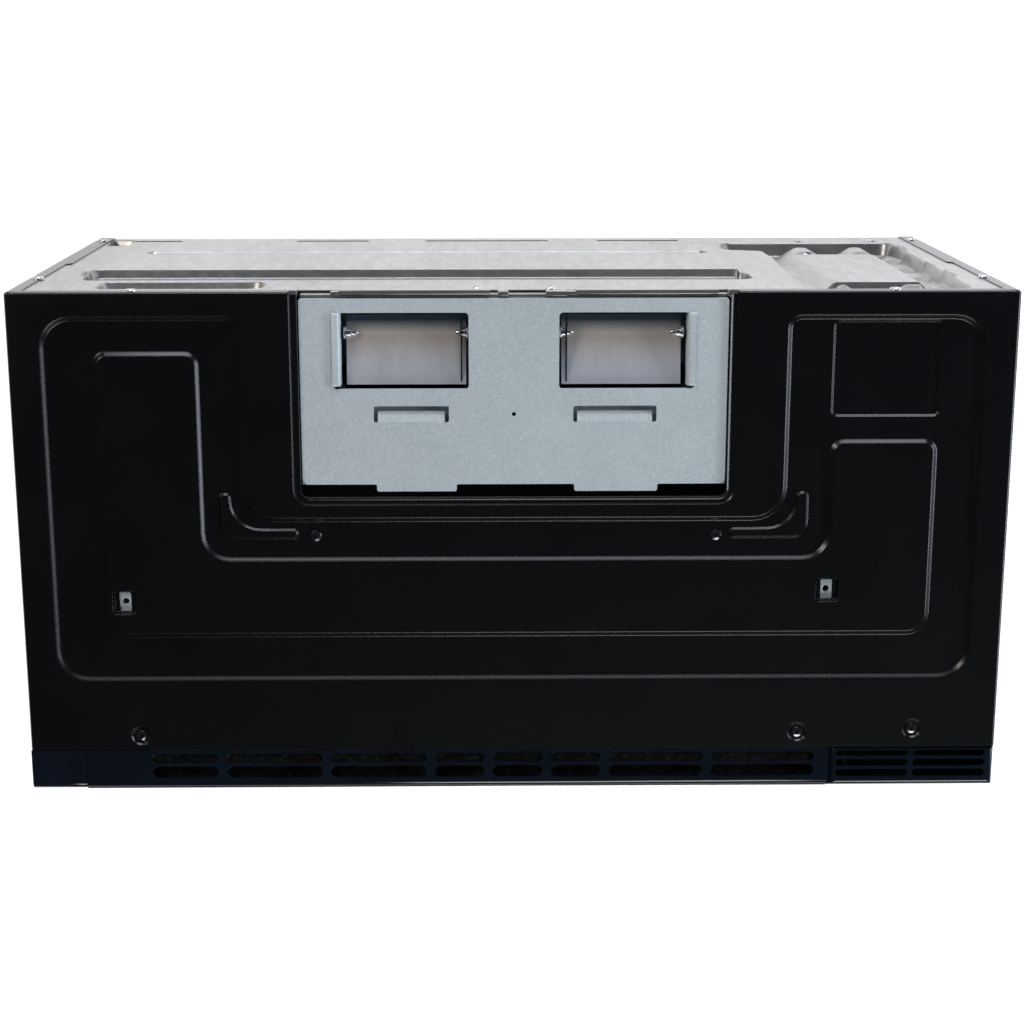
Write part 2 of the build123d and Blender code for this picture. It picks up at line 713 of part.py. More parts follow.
# ------------------------------------------------------------ back panel
def make_back_panel():
    """Pressed panel towards the wall, drawn flat in (x, height), then stood up."""
    top = TOP - SHEET - FIT
    face = PANEL_SET
    sheet = prism(outline([(-INSIDE, FIT + SHEET), (INSIDE, FIT + SHEET), (INSIDE, top), (-INSIDE, top)],
                          [0, 0, WRAP_BEND, WRAP_BEND]), face, face + SHEET)
    pad = rectangle(PAD_LEFT, PAD_RIGHT, PAD_BOTTOM, PAD_TOP, PAD_CORNER)
    sheet = press_out(sheet, pad, face, 1, PANEL_SET, PAD_SLOPE)
    rib = rectangle(RIB_LEFT, RIB_RIGHT, RIB_BOTTOM, RIB_TOP, (RIB_TOP - RIB_BOTTOM) / 2 - 0.1)
    sheet = press_in(sheet, rib, 0, 1, RIB_DEPTH, RIB_DEPTH)
    ledge = rectangle(LEDGE_LEFT, LEDGE_RIGHT, LEDGE_BOTTOM, LEDGE_TOP, LEDGE_CORNER)
    sheet = press_in(sheet, ledge, face, 1, LEDGE_DEPTH, LEDGE_SLOPE)
    groove = rectangle(GROOVE_LEFT, GROOVE_RIGHT, GROOVE_BOTTOM, GROOVE_TOP, (GROOVE_TOP - GROOVE_BOTTOM) / 3)
    sheet = press_in(sheet, groove, face, 1, GROOVE_DEPTH, GROOVE_DEPTH / 2)
    sheet = press_in(sheet, outline(DENT, [DENT_SLOPE * 2] * len(DENT)), face, 1, DENT_DEPTH, DENT_SLOPE)
    sheet = press_in(sheet, outline(WELL_OUTLINE, WELL_RADII), face, 1, DRAW_DEPTH, DRAW_SLOPE)
    for x, z, width, height, corner in HUMPS:
        hump = rectangle(x - width / 2, x + width / 2, z - height / 2, z + height / 2, corner)
        sheet = press_out(sheet, hump, face + DRAW_DEPTH, 1, HUMP_HEIGHT, HUMP_SLOPE)
    for x0, x1 in HOOK_SLOTS:
        half = HOOK_SLOT_H / 2
        slot = rectangle(x0, x1, HOOK_SLOT_Z - half, HOOK_SLOT_Z + half, half - 0.1)
        sheet -= prism(slot, 0, face + 2 * SHEET)
    half = BAY_HALF + BEAD_W + SHEET + FIT
    notch = rectangle(-half, half, NOTCH_BOTTOM, TOP + TOP_FLANGE, BAY_CORNER)
    sheet -= prism(notch, 0, face + 2 * SHEET)
    places = FLANGE_SCREWS + TOP_EDGE_SCREWS + BLOWER_REAR_SCREWS + BASE_SCREWS
    return upright(sheet) - rear_holes(places, 0, face + 2 * SHEET)


# ------------------------------------------------------------ base, front plate, cavity
def grease_outline(x, extra):
    """Outline of a grease filter grown by an allowance."""
    half_w = GREASE_W / 2 + extra
    half_d = GREASE_D / 2 + extra
    return plan_rectangle(x - half_w, x + half_w, GREASE_DEPTH - half_d, GREASE_DEPTH + half_d,
                          GREASE_CORNER + extra)


def lamp_outline(extra):
    """Outline of the lamp cover grown by an allowance."""
    half_w = LAMP_W / 2 + extra
    half_d = LAMP_D / 2 + extra
    return plan_rectangle(LAMP_X - half_w, LAMP_X + half_w, LAMP_DEPTH - half_d, LAMP_DEPTH + half_d,
                          LAMP_CORNER + extra)


def make_base_plate():
    """Underside sheet with filter wells, lamp well and turned-up edges."""
    back = PANEL_SET + SHEET + FIT
    front = FRAME_REAR - FIT
    base = block(-INSIDE, INSIDE, back, front, 0, SHEET)
    for side in (-1, 1):
        inner = INSIDE - SHEET
        base += block(min(side * inner, side * INSIDE), max(side * inner, side * INSIDE), back, front,
                      0, BASE_FLANGE)
    for x, z in BASE_SCREWS:
        half = SCREW_TAB / 2
        base += block(x - half, x + half, back - FIT, back - FIT + SHEET, 0, BASE_REAR_TAB)
    for x in GREASE_X:
        base = press_in(base, grease_outline(x, TRAY_FIT), 0, 1, GREASE_T + SHEET, SHEET)
        base -= prism(grease_outline(x, -GREASE_LEDGE), -1, BASE_FLANGE)
        for end in (-1, 1):
            rim = x + end * (GREASE_W / 2 + TRAY_FIT + SHEET)
            tip = x + end * (GREASE_W / 2 - LIP_REACH)
            base += block(min(rim, tip), max(rim, tip), GREASE_DEPTH - LIP_W / 2, GREASE_DEPTH + LIP_W / 2,
                          0, SHEET / 2)
    base = press_in(base, lamp_outline(TRAY_FIT), 0, 1, LAMP_WELL, SHEET)
    base -= prism(lamp_outline(-LIP_REACH), -1, BASE_FLANGE)
    return base - rear_holes(BASE_SCREWS, 0, back + 2 * SHEET)


def make_grease_filter(x):
    """Aluminium frame round a mesh pad, with a finger bar."""
    low = SHEET / 2 + FIT
    high = low + GREASE_T
    frame = prism(grease_outline(x, 0), low, high)
    frame -= prism(grease_outline(x, -GREASE_BAR), low - 1, low + 1.5)
    frame -= prism(grease_outline(x, -GREASE_BAR), high - 1.5, high + 1)
    bar = block(x - GREASE_BAR, x + GREASE_BAR, GREASE_DEPTH - GREASE_D / 2 + 1, GREASE_DEPTH + GREASE_D / 2 - 1,
                low, high)
    return frame + bar


def make_lamp_cover():
    """Clear cover plate under the cooktop lamps, held in its well."""
    high = LAMP_WELL - FIT / 3
    return prism(lamp_outline(0), high - LAMP_COVER_T, high)


def make_cooktop_lamps():
    """Two small globes lying in their sockets above the cover."""
    z = LAMP_WELL + SHEET + FIT + BULB_R
    lamps = []
    for side in (-1, 1):
        x = LAMP_X + side * BULB_SPAN
        globe = Pos(x, y_at(LAMP_DEPTH), z) * Sphere(BULB_R)
        inner = x - side * BULB_LENGTH
        cap = rod_x(BULB_BASE_R, min(x, inner), max(x, inner), LAMP_DEPTH, z)
        lamps.append(globe + cap)
    yoke = block(LAMP_X - BULB_SPAN + BULB_LENGTH + FIT, LAMP_X + BULB_SPAN - BULB_LENGTH - FIT,
                 LAMP_DEPTH - LAMP_D / 2 - TRAY_FIT, LAMP_DEPTH + LAMP_D / 2 + TRAY_FIT, LAMP_WELL + SHEET,
                 z + BULB_BASE_R)
    return Compound([lamps[0], lamps[1], yoke])


def latch_slot(level, front, rear):
    """Opening that a latch hook passes with its lift and its swing."""
    low = level - HOOK_H / 2 - HOOK_BARB - LATCH_CLEAR
    high = level + HOOK_H / 2 + LATCH_LIFT + LATCH_CLEAR
    return block(LATCH_X - LATCH_W / 2 - LATCH_CLEAR, LATCH_X + LATCH_W / 2 + 2 * LATCH_CLEAR, rear, front,
                 low, high)


def make_front_frame():
    """Front plate that carries the oven, hinges, grille and control panel."""
    high = TOP - DIMPLE_DEPTH - SHEET - FIT / 3
    low = SHEET + FIT / 3
    frame = block(-INSIDE, INSIDE, FRAME_REAR, FRAME_FACE, low, high)
    start = FRAME_FACE - FRAME_FLANGE
    frame += block(-INSIDE + WRAP_BEND, INSIDE - WRAP_BEND, start, FRAME_FACE, high - SHEET, high)
    frame += block(-INSIDE + 2 * SHEET, INSIDE - 2 * SHEET, start, FRAME_FACE, low, low + SHEET)
    for side in (-1, 1):
        edge = side * (INSIDE - SHEET - FIT)
        inner = edge - side * SHEET
        frame += block(min(edge, inner), max(edge, inner), start, FRAME_FACE, low, high)
    frame -= block(CAVITY_LEFT, CAVITY_RIGHT, 0, CASE_DEPTH, CAVITY_FLOOR, CAVITY_ROOF)
    frame -= block(GRILLE_LEFT + GRILLE_WALL, GRILLE_RIGHT - GRILLE_WALL, FRAME_REAR - 1, FRAME_FACE + 1,
                   GRILLE_BOTTOM + 5, high - GRILLE_WALL - 5)
    frame -= block(PANEL_LEFT + LATCH_IN, INSIDE - LATCH_IN, FRAME_REAR - 1, FRAME_FACE + 1,
                   CAVITY_FLOOR, NOISE_Z - NOISE_H / 2 - 10)
    for level in (LATCH_LOW, LATCH_HIGH):
        frame -= latch_slot(level, FRAME_FACE + 1, FRAME_REAR - 1)
    for x, depth in DIMPLE_SCREWS:
        frame -= rod_z(SCREW_HOLE_R, x, depth, high - 2 * SHEET, high + SHEET)
    return frame


def make_cavity():
    """Enamelled oven box with its front flange, vents, feed opening and roller track."""
    out = CAVITY_T
    shell = in_plan([(CAVITY_LEFT - out, FRAME_REAR), (CAVITY_RIGHT + out, FRAME_REAR),
                     (CAVITY_RIGHT + out, CAVITY_REAR - out), (CAVITY_LEFT - out, CAVITY_REAR - out)],
                    [0, 0, CAVITY_CORNER + out, CAVITY_CORNER + out])
    room = in_plan([(CAVITY_LEFT, FRAME_REAR + 1), (CAVITY_RIGHT, FRAME_REAR + 1),
                    (CAVITY_RIGHT, CAVITY_REAR), (CAVITY_LEFT, CAVITY_REAR)],
                   [0, 0, CAVITY_CORNER, CAVITY_CORNER])
    box = prism(shell, CAVITY_FLOOR - out, ROOF_OUT)
    rim = CAVITY_FLANGE
    box += block(CAVITY_LEFT - rim, CAVITY_RIGHT + rim, FRAME_REAR - out, FRAME_REAR,
                 CAVITY_FLOOR - rim, CAVITY_ROOF + rim)
    box -= prism(room, CAVITY_FLOOR, CAVITY_ROOF)
    centre = Pos(CAVITY_X, y_at(CAVITY_MID_DEPTH))
    track = centre * (Circle(TRACK_R + TRACK_W / 2) - Circle(TRACK_R - TRACK_W / 2))
    under = centre * (Circle(TRACK_R + TRACK_W / 2 + out) - Circle(TRACK_R - TRACK_W / 2 - out))
    box += prism(under, CAVITY_FLOOR - out - TRACK_DEPTH, CAVITY_FLOOR - out)
    box -= prism(track, CAVITY_FLOOR - TRACK_DEPTH, CAVITY_FLOOR)
    box -= rod_z(COUPLER_R, CAVITY_X, CAVITY_MID_DEPTH, CAVITY_FLOOR - 2, CAVITY_FLOOR + 1)
    box -= block(CAVITY_RIGHT - 1, WALL_OUT + 1, FEED_DEPTH - FEED_W / 2, FEED_DEPTH + FEED_W / 2,
                 FEED_Z - FEED_H / 2, FEED_Z + FEED_H / 2)
    box -= rod_x(LAMP_BULB_R + 1, CAVITY_RIGHT - 1, WALL_OUT + 1, OVEN_LAMP_DEPTH, CAVITY_ROOF - OVEN_LAMP_DROP)
    for index in range(VENT_COUNT):
        depth = CAVITY_REAR + 2 * CAVITY_CORNER + index * VENT_PITCH
        for wall in (CAVITY_LEFT, CAVITY_RIGHT):
            box -= block(wall - 2, wall + 2, depth - VENT_W / 2, depth + VENT_W / 2,
                         CAVITY_MID_Z - VENT_H / 2, CAVITY_MID_Z + VENT_H / 2)
    return box


def make_waveguide_cover():
    """Mica sheet over the feed opening, inside the oven."""
    lap = COVER_LAP
    return block(CAVITY_RIGHT - COVER_T, CAVITY_RIGHT, FEED_DEPTH - FEED_W / 2 - lap,
                 FEED_DEPTH + FEED_W / 2 + lap, FEED_Z - FEED_H / 2 - lap, FEED_Z + FEED_H / 2 + lap)


def make_cavity_lamp():
    """Oven lamp and socket outside the right-hand wall."""
    z = CAVITY_ROOF - OVEN_LAMP_DROP
    socket = rod_x(LAMP_SOCKET_R, WALL_OUT, WALL_OUT + 8, OVEN_LAMP_DEPTH, z)
    socket -= rod_x(LAMP_BULB_R + 1, WALL_OUT - 1, WALL_OUT + 2, OVEN_LAMP_DEPTH, z)
    stem = rod_x(LAMP_BULB_R, WALL_OUT + 1, WALL_OUT + 26, OVEN_LAMP_DEPTH, z)
    return socket + stem


# ------------------------------------------------------------ blower
def outlet_edges(side):
    """X of an outlet's inner and outer edge, low one first."""
    inner = side * OUTLET_INNER
    outer = side * (OUTLET_INNER + OUTLET_WIDTH)
    return min(inner, outer), max(inner, outer)


def make_blower_plate():
    """Galvanised chassis: plate with two outlets, guide folds, lances, skirt and feet."""
    back = PANEL_SET + SHEET + FIT
    plate = block(-PLATE_HALF, PLATE_HALF, PLATE_BACK, PLATE_FRONT, PLATE_UNDER, PLATE_TOP)
    for x0, x1 in PLATE_TABS:
        plate += block(x0, x1, PLATE_FRONT - 1, PLATE_TAB_FRONT, PLATE_UNDER, PLATE_TOP)
    skirt = PLATE_TOP - PLATE_SKIRT
    plate += block(-PLATE_HALF, PLATE_HALF, PLATE_FRONT - SHEET, PLATE_FRONT, skirt, PLATE_TOP)
    plate += block(-PLATE_HALF, PLATE_HALF, PLATE_BACK, PLATE_BACK + SHEET, skirt, PLATE_TOP)
    for side in (-1, 1):
        wall = side * PLATE_HALF
        inner = wall - side * SHEET
        plate += block(min(wall, inner), max(wall, inner), CHASSIS_BACK, PLATE_FRONT, ROOF_OUT, PLATE_TOP)
        foot = wall + side * CHASSIS_FOOT
        plate += block(min(inner, foot), max(inner, foot), CHASSIS_BACK, PLATE_FRONT, ROOF_OUT, ROOF_OUT + SHEET)
        x0, x1 = outlet_edges(side)
        opening = plan_rectangle(x0, x1, OUTLET_BACK, OUTLET_FRONT, OUTLET_CORNER)
        plate -= prism(opening, PLATE_UNDER - 1, PLATE_TOP + 1)
        rim = side * (OUTLET_INNER + OUTLET_WIDTH)
        fold = rim - side * GUIDE_FOLD
        plate += block(min(rim, fold), max(rim, fold), OUTLET_BACK, OUTLET_FRONT - GUIDE_SLIT,
                       PLATE_TOP - SHEET / 2, PLATE_TOP + SHEET)
        lance = slot_z(x0 + LANCE_INSET, x1 - LANCE_INSET + PLATE_SINK, LANCE_BACK, LANCE_FRONT,
                       PLATE_UNDER - 1, PLATE_TOP + 1)
        plate -= lance
        tab = along_x([(LANCE_FRONT + 1, PLATE_UNDER), (LANCE_FRONT + 1, PLATE_TOP),
                       (LANCE_BACK + 4, PLATE_UNDER - LANCE_RISE + SHEET),
                       (LANCE_BACK + 4, PLATE_UNDER - LANCE_RISE)], [0, 0, 0, 0],
                      x0 + LANCE_INSET + LANCE_TAB_INSET, x1 - LANCE_INSET - LANCE_TAB_INSET)
        plate += tab
        half = SCREW_TAB / 2
        x = side * abs(BLOWER_REAR_SCREWS[0][0])
        low = BLOWER_REAR_SCREWS[0][1] - SCREW_HEAD_R * 2
        plate += block(x - half, x + half, back - FIT, back - FIT + SHEET, low, PLATE_TOP)
        plate += block(x - half, x + half, back - FIT, PLATE_BACK + SHEET, PLATE_UNDER, PLATE_TOP)
    plate -= rod_z(PILOT_R, 0, PILOT_DEPTH, PLATE_UNDER - 1, PLATE_TOP + 1)
    return plate - rear_holes(BLOWER_REAR_SCREWS, 0, PLATE_BACK - FIT)


def scroll_outline(shrink):
    """Snail-shell outline in (depth, height); the shrink gives its inner side."""
    back = OUTLET_BACK - SCROLL_T + shrink
    front = SCROLL_FRONT - shrink
    tongue = OUTLET_FRONT + SCROLL_T - shrink
    low = SCROLL_FLOOR + shrink
    roof = SCROLL_ROOF - shrink
    high = PLATE_UNDER + shrink
    points = [(back, high), (back, low), (front, low), (front, roof), (tongue, roof), (tongue, high)]
    return points, [0, SCROLL_FLOOR_R - shrink, SCROLL_FRONT_R - shrink, SCROLL_FRONT_R - shrink,
                    SCROLL_TONGUE_R + shrink, 0]


def make_blower_scroll(side):
    """Scroll casing round one wheel, open at its outlet and at both inlets."""
    x0, x1 = outlet_edges(side)
    outside, outer_radii = scroll_outline(0)
    inside, inner_radii = scroll_outline(SCROLL_T)
    case = along_x(outside, outer_radii, x0 - SCROLL_T, x1 + SCROLL_T)
    case -= along_x(inside, inner_radii, x0, x1)
    case -= rod_x(INLET_R, x0 - 2, x1 + 2, WHEEL_DEPTH, WHEEL_Z)
    return case


def make_blower_motor():
    """Double-shaft motor hung from the plate by a strap."""
    half = BLOWER_MOTOR_W / 2
    can = rod_x(BLOWER_MOTOR_R, -half + MOTOR_BELL_W, half - MOTOR_BELL_W, WHEEL_DEPTH, WHEEL_Z)
    can += rod_x(MOTOR_BELL_R, -half, half, WHEEL_DEPTH, WHEEL_Z)
    high = PLATE_UNDER
    band = rod_x(BLOWER_MOTOR_R + STRAP_T, -STRAP_W / 2, STRAP_W / 2, WHEEL_DEPTH, WHEEL_Z)
    motor = can + band
    for side in (-1, 1):
        depth = WHEEL_DEPTH + side * BLOWER_MOTOR_R
        motor += block(-STRAP_W / 2, STRAP_W / 2, depth - STRAP_T, depth + STRAP_T, WHEEL_Z, high)
    return motor - rod_x(BLOWER_SHAFT_R + RUNNING_FIT, -half - 1, half + 1, WHEEL_DEPTH, WHEEL_Z)


def make_blower_shaft():
    """Shaft through the motor that carries both wheels."""
    reach = OUTLET_INNER + OUTLET_WIDTH - 2 * WHEEL_GAP
    return rod_x(BLOWER_SHAFT_R, -reach, reach, WHEEL_DEPTH, WHEEL_Z)


def blade_profile(count):
    """Forward-curved blades as arcs of constant thickness, drawn about the origin."""
    mean = (WHEEL_R + WHEEL_INNER_R) / 2
    chord = WHEEL_R - WHEEL_INNER_R - 1
    bow = chord / 4
    line = ThreePointArc((-chord / 2, 0), (0, bow), (chord / 2, 0))
    back = ThreePointArc((chord / 2, BLADE_T), (0, bow + BLADE_T), (-chord / 2, BLADE_T))
    ends = [Line((chord / 2, 0), (chord / 2, BLADE_T)), Line((-chord / 2, BLADE_T), (-chord / 2, 0))]
    blade = make_face([line.edge(), ends[0].edge(), back.edge(), ends[1].edge()])
    blade = Pos(mean, 0) * Rot(0, 0, BLADE_LEAN) * blade
    return [Rot(0, 0, 360 * index / count) * blade for index in range(count)]


def make_blower_wheel(side):
    """Squirrel-cage wheel: centre web, hub, two end rings and forward-curved blades."""
    half = WHEEL_LENGTH / 2
    wheel = Cylinder(WHEEL_R, WHEEL_WEB_T)
    wheel += Cylinder(HUB_R, HUB_W)
    for end in (-1, 1):
        ring = Cylinder(WHEEL_R, WHEEL_RIM_W) - Cylinder(WHEEL_INNER_R, 2 * WHEEL_RIM_W)
        wheel += Pos(0, 0, end * (half - WHEEL_RIM_W / 2)) * ring
    blades = [Pos(0, 0, -half + 1) * extrude(face, amount=WHEEL_LENGTH - 2) for face in blade_profile(BLADE_COUNT)]
    wheel = wheel + blades
    wheel -= Cylinder(BLOWER_SHAFT_R, HUB_W * 2)
    x0, x1 = outlet_edges(side)
    return Pos((x0 + x1) / 2, y_at(WHEEL_DEPTH), WHEEL_Z) * Rot(0, 90, 0) * wheel


# ------------------------------------------------------------ grille and end cap
def nose_profile(x0, x1, shrink):
    """Front strip section over the door, with a rounded top front edge."""
    face = CASE_DEPTH - shrink
    points = [(MOULD_REAR - 2 * shrink, TOP - shrink), (face, TOP - shrink), (face, GRILLE_BOTTOM + shrink),
              (MOULD_REAR - 2 * shrink, GRILLE_BOTTOM + shrink)]
    return along_x(points, [0, GRILLE_NOSE - shrink, SHEET, 0], x0, x1)


def strip_shell(x0, x1):
    """Hollow front strip with end walls and feet that reach the front plate."""
    shell = nose_profile(x0, x1, 0)
    shell -= nose_profile(x0 + GRILLE_WALL, x1 - GRILLE_WALL, GRILLE_WALL)
    low = GRILLE_BOTTOM + GRILLE_WALL
    for edge, inner in ((x0, x0 + STRIP_FOOT), (x1 - STRIP_FOOT, x1)):
        shell += block(max(edge, -INSIDE + SHEET), inner, FRAME_FACE, MOULD_REAR + 1, low,
                       TOP - SHEET - 2 * GRILLE_WALL)
    return shell


def make_vent_grille():
    """Slotted strip over the door with rails for the charcoal filter."""
    grille = strip_shell(GRILLE_LEFT + FIT, GRILLE_RIGHT)
    x = SLOT_START
    for width in SLOT_WIDTHS:
        for d0, d1 in SLOT_ROWS:
            grille -= slot_z(x, x + width, d0, d1, TOP - 2 * GRILLE_WALL, TOP + 1)
        x += width + SLOT_BRIDGE
    under = TOP - GRILLE_WALL - FILTER_PAD_DROP - FILTER_PAD_T
    for x0, x1 in ((GRILLE_LEFT + FIT, GRILLE_LEFT + END_CAP_W), (GRILLE_RIGHT - END_CAP_W, GRILLE_RIGHT)):
        grille += block(x0, x1, MOULD_REAR, CASE_DEPTH - 1, under - FILTER_RAIL, under)
    return grille


def make_grille_end_cap():
    return strip_shell(-HALF, GRILLE_LEFT)


def make_charcoal_filter():
    """Framed charcoal pad lying on the grille's rails."""
    under = TOP - GRILLE_WALL - FILTER_PAD_DROP - FILTER_PAD_T
    x0 = GRILLE_LEFT + FIT + STRIP_FOOT + FIT
    x1 = GRILLE_RIGHT - STRIP_FOOT - FIT
    return block(x0, x1, MOULD_REAR + FIT, CASE_DEPTH - GRILLE_WALL - FIT, under, under + FILTER_PAD_T)


# ------------------------------------------------------------ control panel
def make_control_panel():
    """Moulded fascia, open at the back, with vents in its top."""
    body = prism(plan_rectangle(PANEL_LEFT, HALF, MOULD_REAR, CASE_DEPTH, SHEET), 0, TOP)
    edges = body.edges().filter_by(Axis.X).sort_by(Axis.Y)[0:2]
    body = fillet(edges, PANEL_CORNER)
    wall = PANEL_WALL
    body -= block(PANEL_LEFT + wall, HALF - wall, 0, CASE_DEPTH - wall, wall, TOP - wall)
    rim = block(PANEL_LEFT, INSIDE - SHEET, FRAME_FACE, MOULD_REAR + 1, wall, TOP - SHEET - 2 * wall)
    rim -= block(PANEL_LEFT + wall, INSIDE - SHEET - wall, 0, CASE_DEPTH, 2 * wall, TOP - SHEET - 3 * wall)
    body += rim
    for x0, x1 in PANEL_SLOT_COLUMNS:
        for d0, d1 in PANEL_SLOT_ROWS:
            body -= slot_z(x0, x1, d0, d1, TOP - 2 * wall, TOP + 1)
    face = CASE_DEPTH
    body -= along_depth(fascia_outline(DISPLAY_W, DISPLAY_H, DISPLAY_Z, FIT), face - DISPLAY_T, face + 1)
    body -= along_depth(fascia_outline(DISPLAY_W, DISPLAY_H, DISPLAY_Z, -4), face - 2 * wall, face + 1)
    body -= along_depth(fascia_outline(KEYPAD_W, KEYPAD_H, KEYPAD_Z, FIT), face - KEYPAD_T, face + 1)
    return body


def fascia_outline(width, height, z, extra):
    """Rounded field on the control panel's face."""
    half_w = width / 2 + extra
    half_h = height / 2 + extra
    return rectangle(PANEL_MID - half_w, PANEL_MID + half_w, z - half_h, z + half_h, 5 + extra)


def make_display_window():
    return along_depth(fascia_outline(DISPLAY_W, DISPLAY_H, DISPLAY_Z, 0), CASE_DEPTH - DISPLAY_T, CASE_DEPTH)


def make_keypad():
    return along_depth(fascia_outline(KEYPAD_W, KEYPAD_H, KEYPAD_Z, 0), CASE_DEPTH - KEYPAD_T, CASE_DEPTH)


def make_control_board():
    """Circuit board on four standoffs behind the fascia, with display block and relays."""
    front = CASE_DEPTH - PANEL_WALL
    face = front - BOARD_STANDOFF
    high = DISPLAY_Z + DISPLAY_H / 2 + 2
    low = high - BOARD_H
    left = PANEL_MID - BOARD_W / 2
    right = PANEL_MID + BOARD_W / 2
    board = block(left, right, face - BOARD_T, face, low, high)
    for x in (left + 6, right - 6):
        for z in (low + 6, high - 6):
            board += rod_y(STANDOFF_R, x, face - 1, front, z)
    half = DISPLAY_W / 2 - 8
    board += block(PANEL_MID - half, PANEL_MID + half, face - 1, front - FIT, DISPLAY_Z - DISPLAY_H / 3,
                   DISPLAY_Z + DISPLAY_H / 3)
    for step in (-1, 0, 1):
        x = PANEL_MID + step * (RELAY_SIZE + 8)
        board += block(x - RELAY_SIZE / 2, x + RELAY_SIZE / 2, face - BOARD_T - 12, face - 1,
                       low + 12, low + 12 + RELAY_SIZE)
    return board


# ------------------------------------------------------------ door
def window_outline(extra):
    """Door window, centred on the oven opening, grown by an allowance."""
    half_w = WINDOW_W / 2 + extra
    half_h = WINDOW_H / 2 + extra
    return rectangle(CAVITY_X - half_w, CAVITY_X + half_w, CAVITY_MID_Z - half_h, CAVITY_MID_Z + half_h,
                     WINDOW_CORNER + extra)


def door_plan(face):
    """Door outline in plan, with the rounded hinge stile."""
    points = [(DOOR_LEFT, face), (DOOR_RIGHT, face), (DOOR_RIGHT, DOOR_REAR), (DOOR_LEFT, DOOR_REAR)]
    return in_plan(points, [DOOR_FRONT_R, DOOR_EDGE_R, DOOR_EDGE_R / 2, DOOR_REAR_R])


def handle_ends():
    """Heights where the handle's two feet meet the door."""
    return HANDLE_LOW + HANDLE_W / 2, HANDLE_HIGH - HANDLE_W / 2


def make_door_frame():
    """Moulded door body: hinge stile, rim, window rebate and hinge bores."""
    frame = prism(door_plan(FRAME_MOULD_FACE), DOOR_BOTTOM, DOOR_TOP)
    wall = DOOR_WALL
    frame -= block(DOOR_LEFT + STILE_W, DOOR_RIGHT - wall, DOOR_REAR - 1, FRAME_MOULD_FACE - wall,
                   DOOR_BOTTOM + wall, DOOR_TOP - wall)
    frame -= along_depth(window_outline(GLASS_LAP + GLASS_FIT), DOOR_REAR, DOOR_FACE)
    bore = PIN_R + RUNNING_FIT
    deep = PIN_LENGTH + 1
    frame -= rod_z(bore, HINGE_X, HINGE_DEPTH, DOOR_BOTTOM - 1, DOOR_BOTTOM + deep)
    frame -= rod_z(bore, HINGE_X, HINGE_DEPTH, DOOR_TOP - deep, DOOR_TOP + 1)
    for z in handle_ends():
        frame -= rod_y(HANDLE_SCREW_R + FIT, HANDLE_X, DOOR_REAR, DOOR_FACE, z)
    return frame


def make_door_skin():
    """Thin stainless facing with the window opening."""
    skin = prism(door_plan(DOOR_FACE), DOOR_BOTTOM, DOOR_TOP)
    skin &= block(DOOR_LEFT, DOOR_RIGHT, FRAME_MOULD_FACE, DOOR_FACE, 0, TOP)
    skin -= along_depth(window_outline(0), DOOR_REAR, DOOR_FACE + 1)
    for z in handle_ends():
        skin -= rod_y(HANDLE_SCREW_R + FIT, HANDLE_X, DOOR_REAR, DOOR_FACE + 1, z)
    return skin


def make_door_glass():
    return along_depth(window_outline(GLASS_LAP), FRAME_MOULD_FACE - GLASS_T, FRAME_MOULD_FACE)


def choke_edges(extra):
    """Bounds of the inner panel's flat middle, grown by an allowance."""
    lap = CHOKE_LAP + extra
    return CAVITY_LEFT - lap, CAVITY_RIGHT + lap, CAVITY_FLOOR - lap, CAVITY_ROOF + lap


def make_door_inner_panel():
    """Stamped panel: flat middle at the oven side and a deep choke channel round it."""
    x0, x1, z0, z1 = choke_edges(CHOKE_W + PRESS_T)
    pan = block(x0, x1, DOOR_REAR, DOOR_REAR + CHOKE_DEPTH, z0, z1)
    x0, x1, z0, z1 = choke_edges(CHOKE_W)
    channel = block(x0, x1, DOOR_REAR - 1, DOOR_REAR + CHOKE_DEPTH - PRESS_T, z0, z1)
    x0, x1, z0, z1 = choke_edges(0)
    pan -= channel - block(x0, x1, 0, CASE_DEPTH, z0, z1)
    x0, x1, z0, z1 = choke_edges(-PRESS_T)
    pan -= block(x0, x1, DOOR_REAR + PRESS_T, DOOR_REAR + CHOKE_DEPTH + 1, z0, z1)
    return pan - along_depth(window_outline(-SCREEN_LAP), 0, DOOR_FACE)


def make_door_screen():
    rear = DOOR_REAR + PRESS_T
    return along_depth(window_outline(0), rear, rear + SCREEN_T)


def make_door_inner_glass():
    rear = DOOR_REAR + PRESS_T + SCREEN_T
    return along_depth(window_outline(0), rear, rear + INNER_GLASS_T)


def make_choke_cover():
    """Plastic ring over the door's back and its choke channel, with slots for the latch hooks."""
    lap = DOOR_WALL * 2 / 3
    cover = block(DOOR_LEFT + STILE_W - lap, DOOR_RIGHT - DOOR_WALL + lap, DOOR_REAR - CHOKE_COVER_T, DOOR_REAR,
                  DOOR_BOTTOM + DOOR_WALL - lap, DOOR_TOP - DOOR_WALL + lap)
    x0, x1, z0, z1 = choke_edges(-CHOKE_LAP - 6)
    cover -= block(x0, x1, 0, CASE_DEPTH, z0, z1)
    for level in (LATCH_LOW, LATCH_HIGH):
        cover -= latch_slot(level, DOOR_REAR + 1, DOOR_REAR - 2 * CHOKE_COVER_T)
    return cover


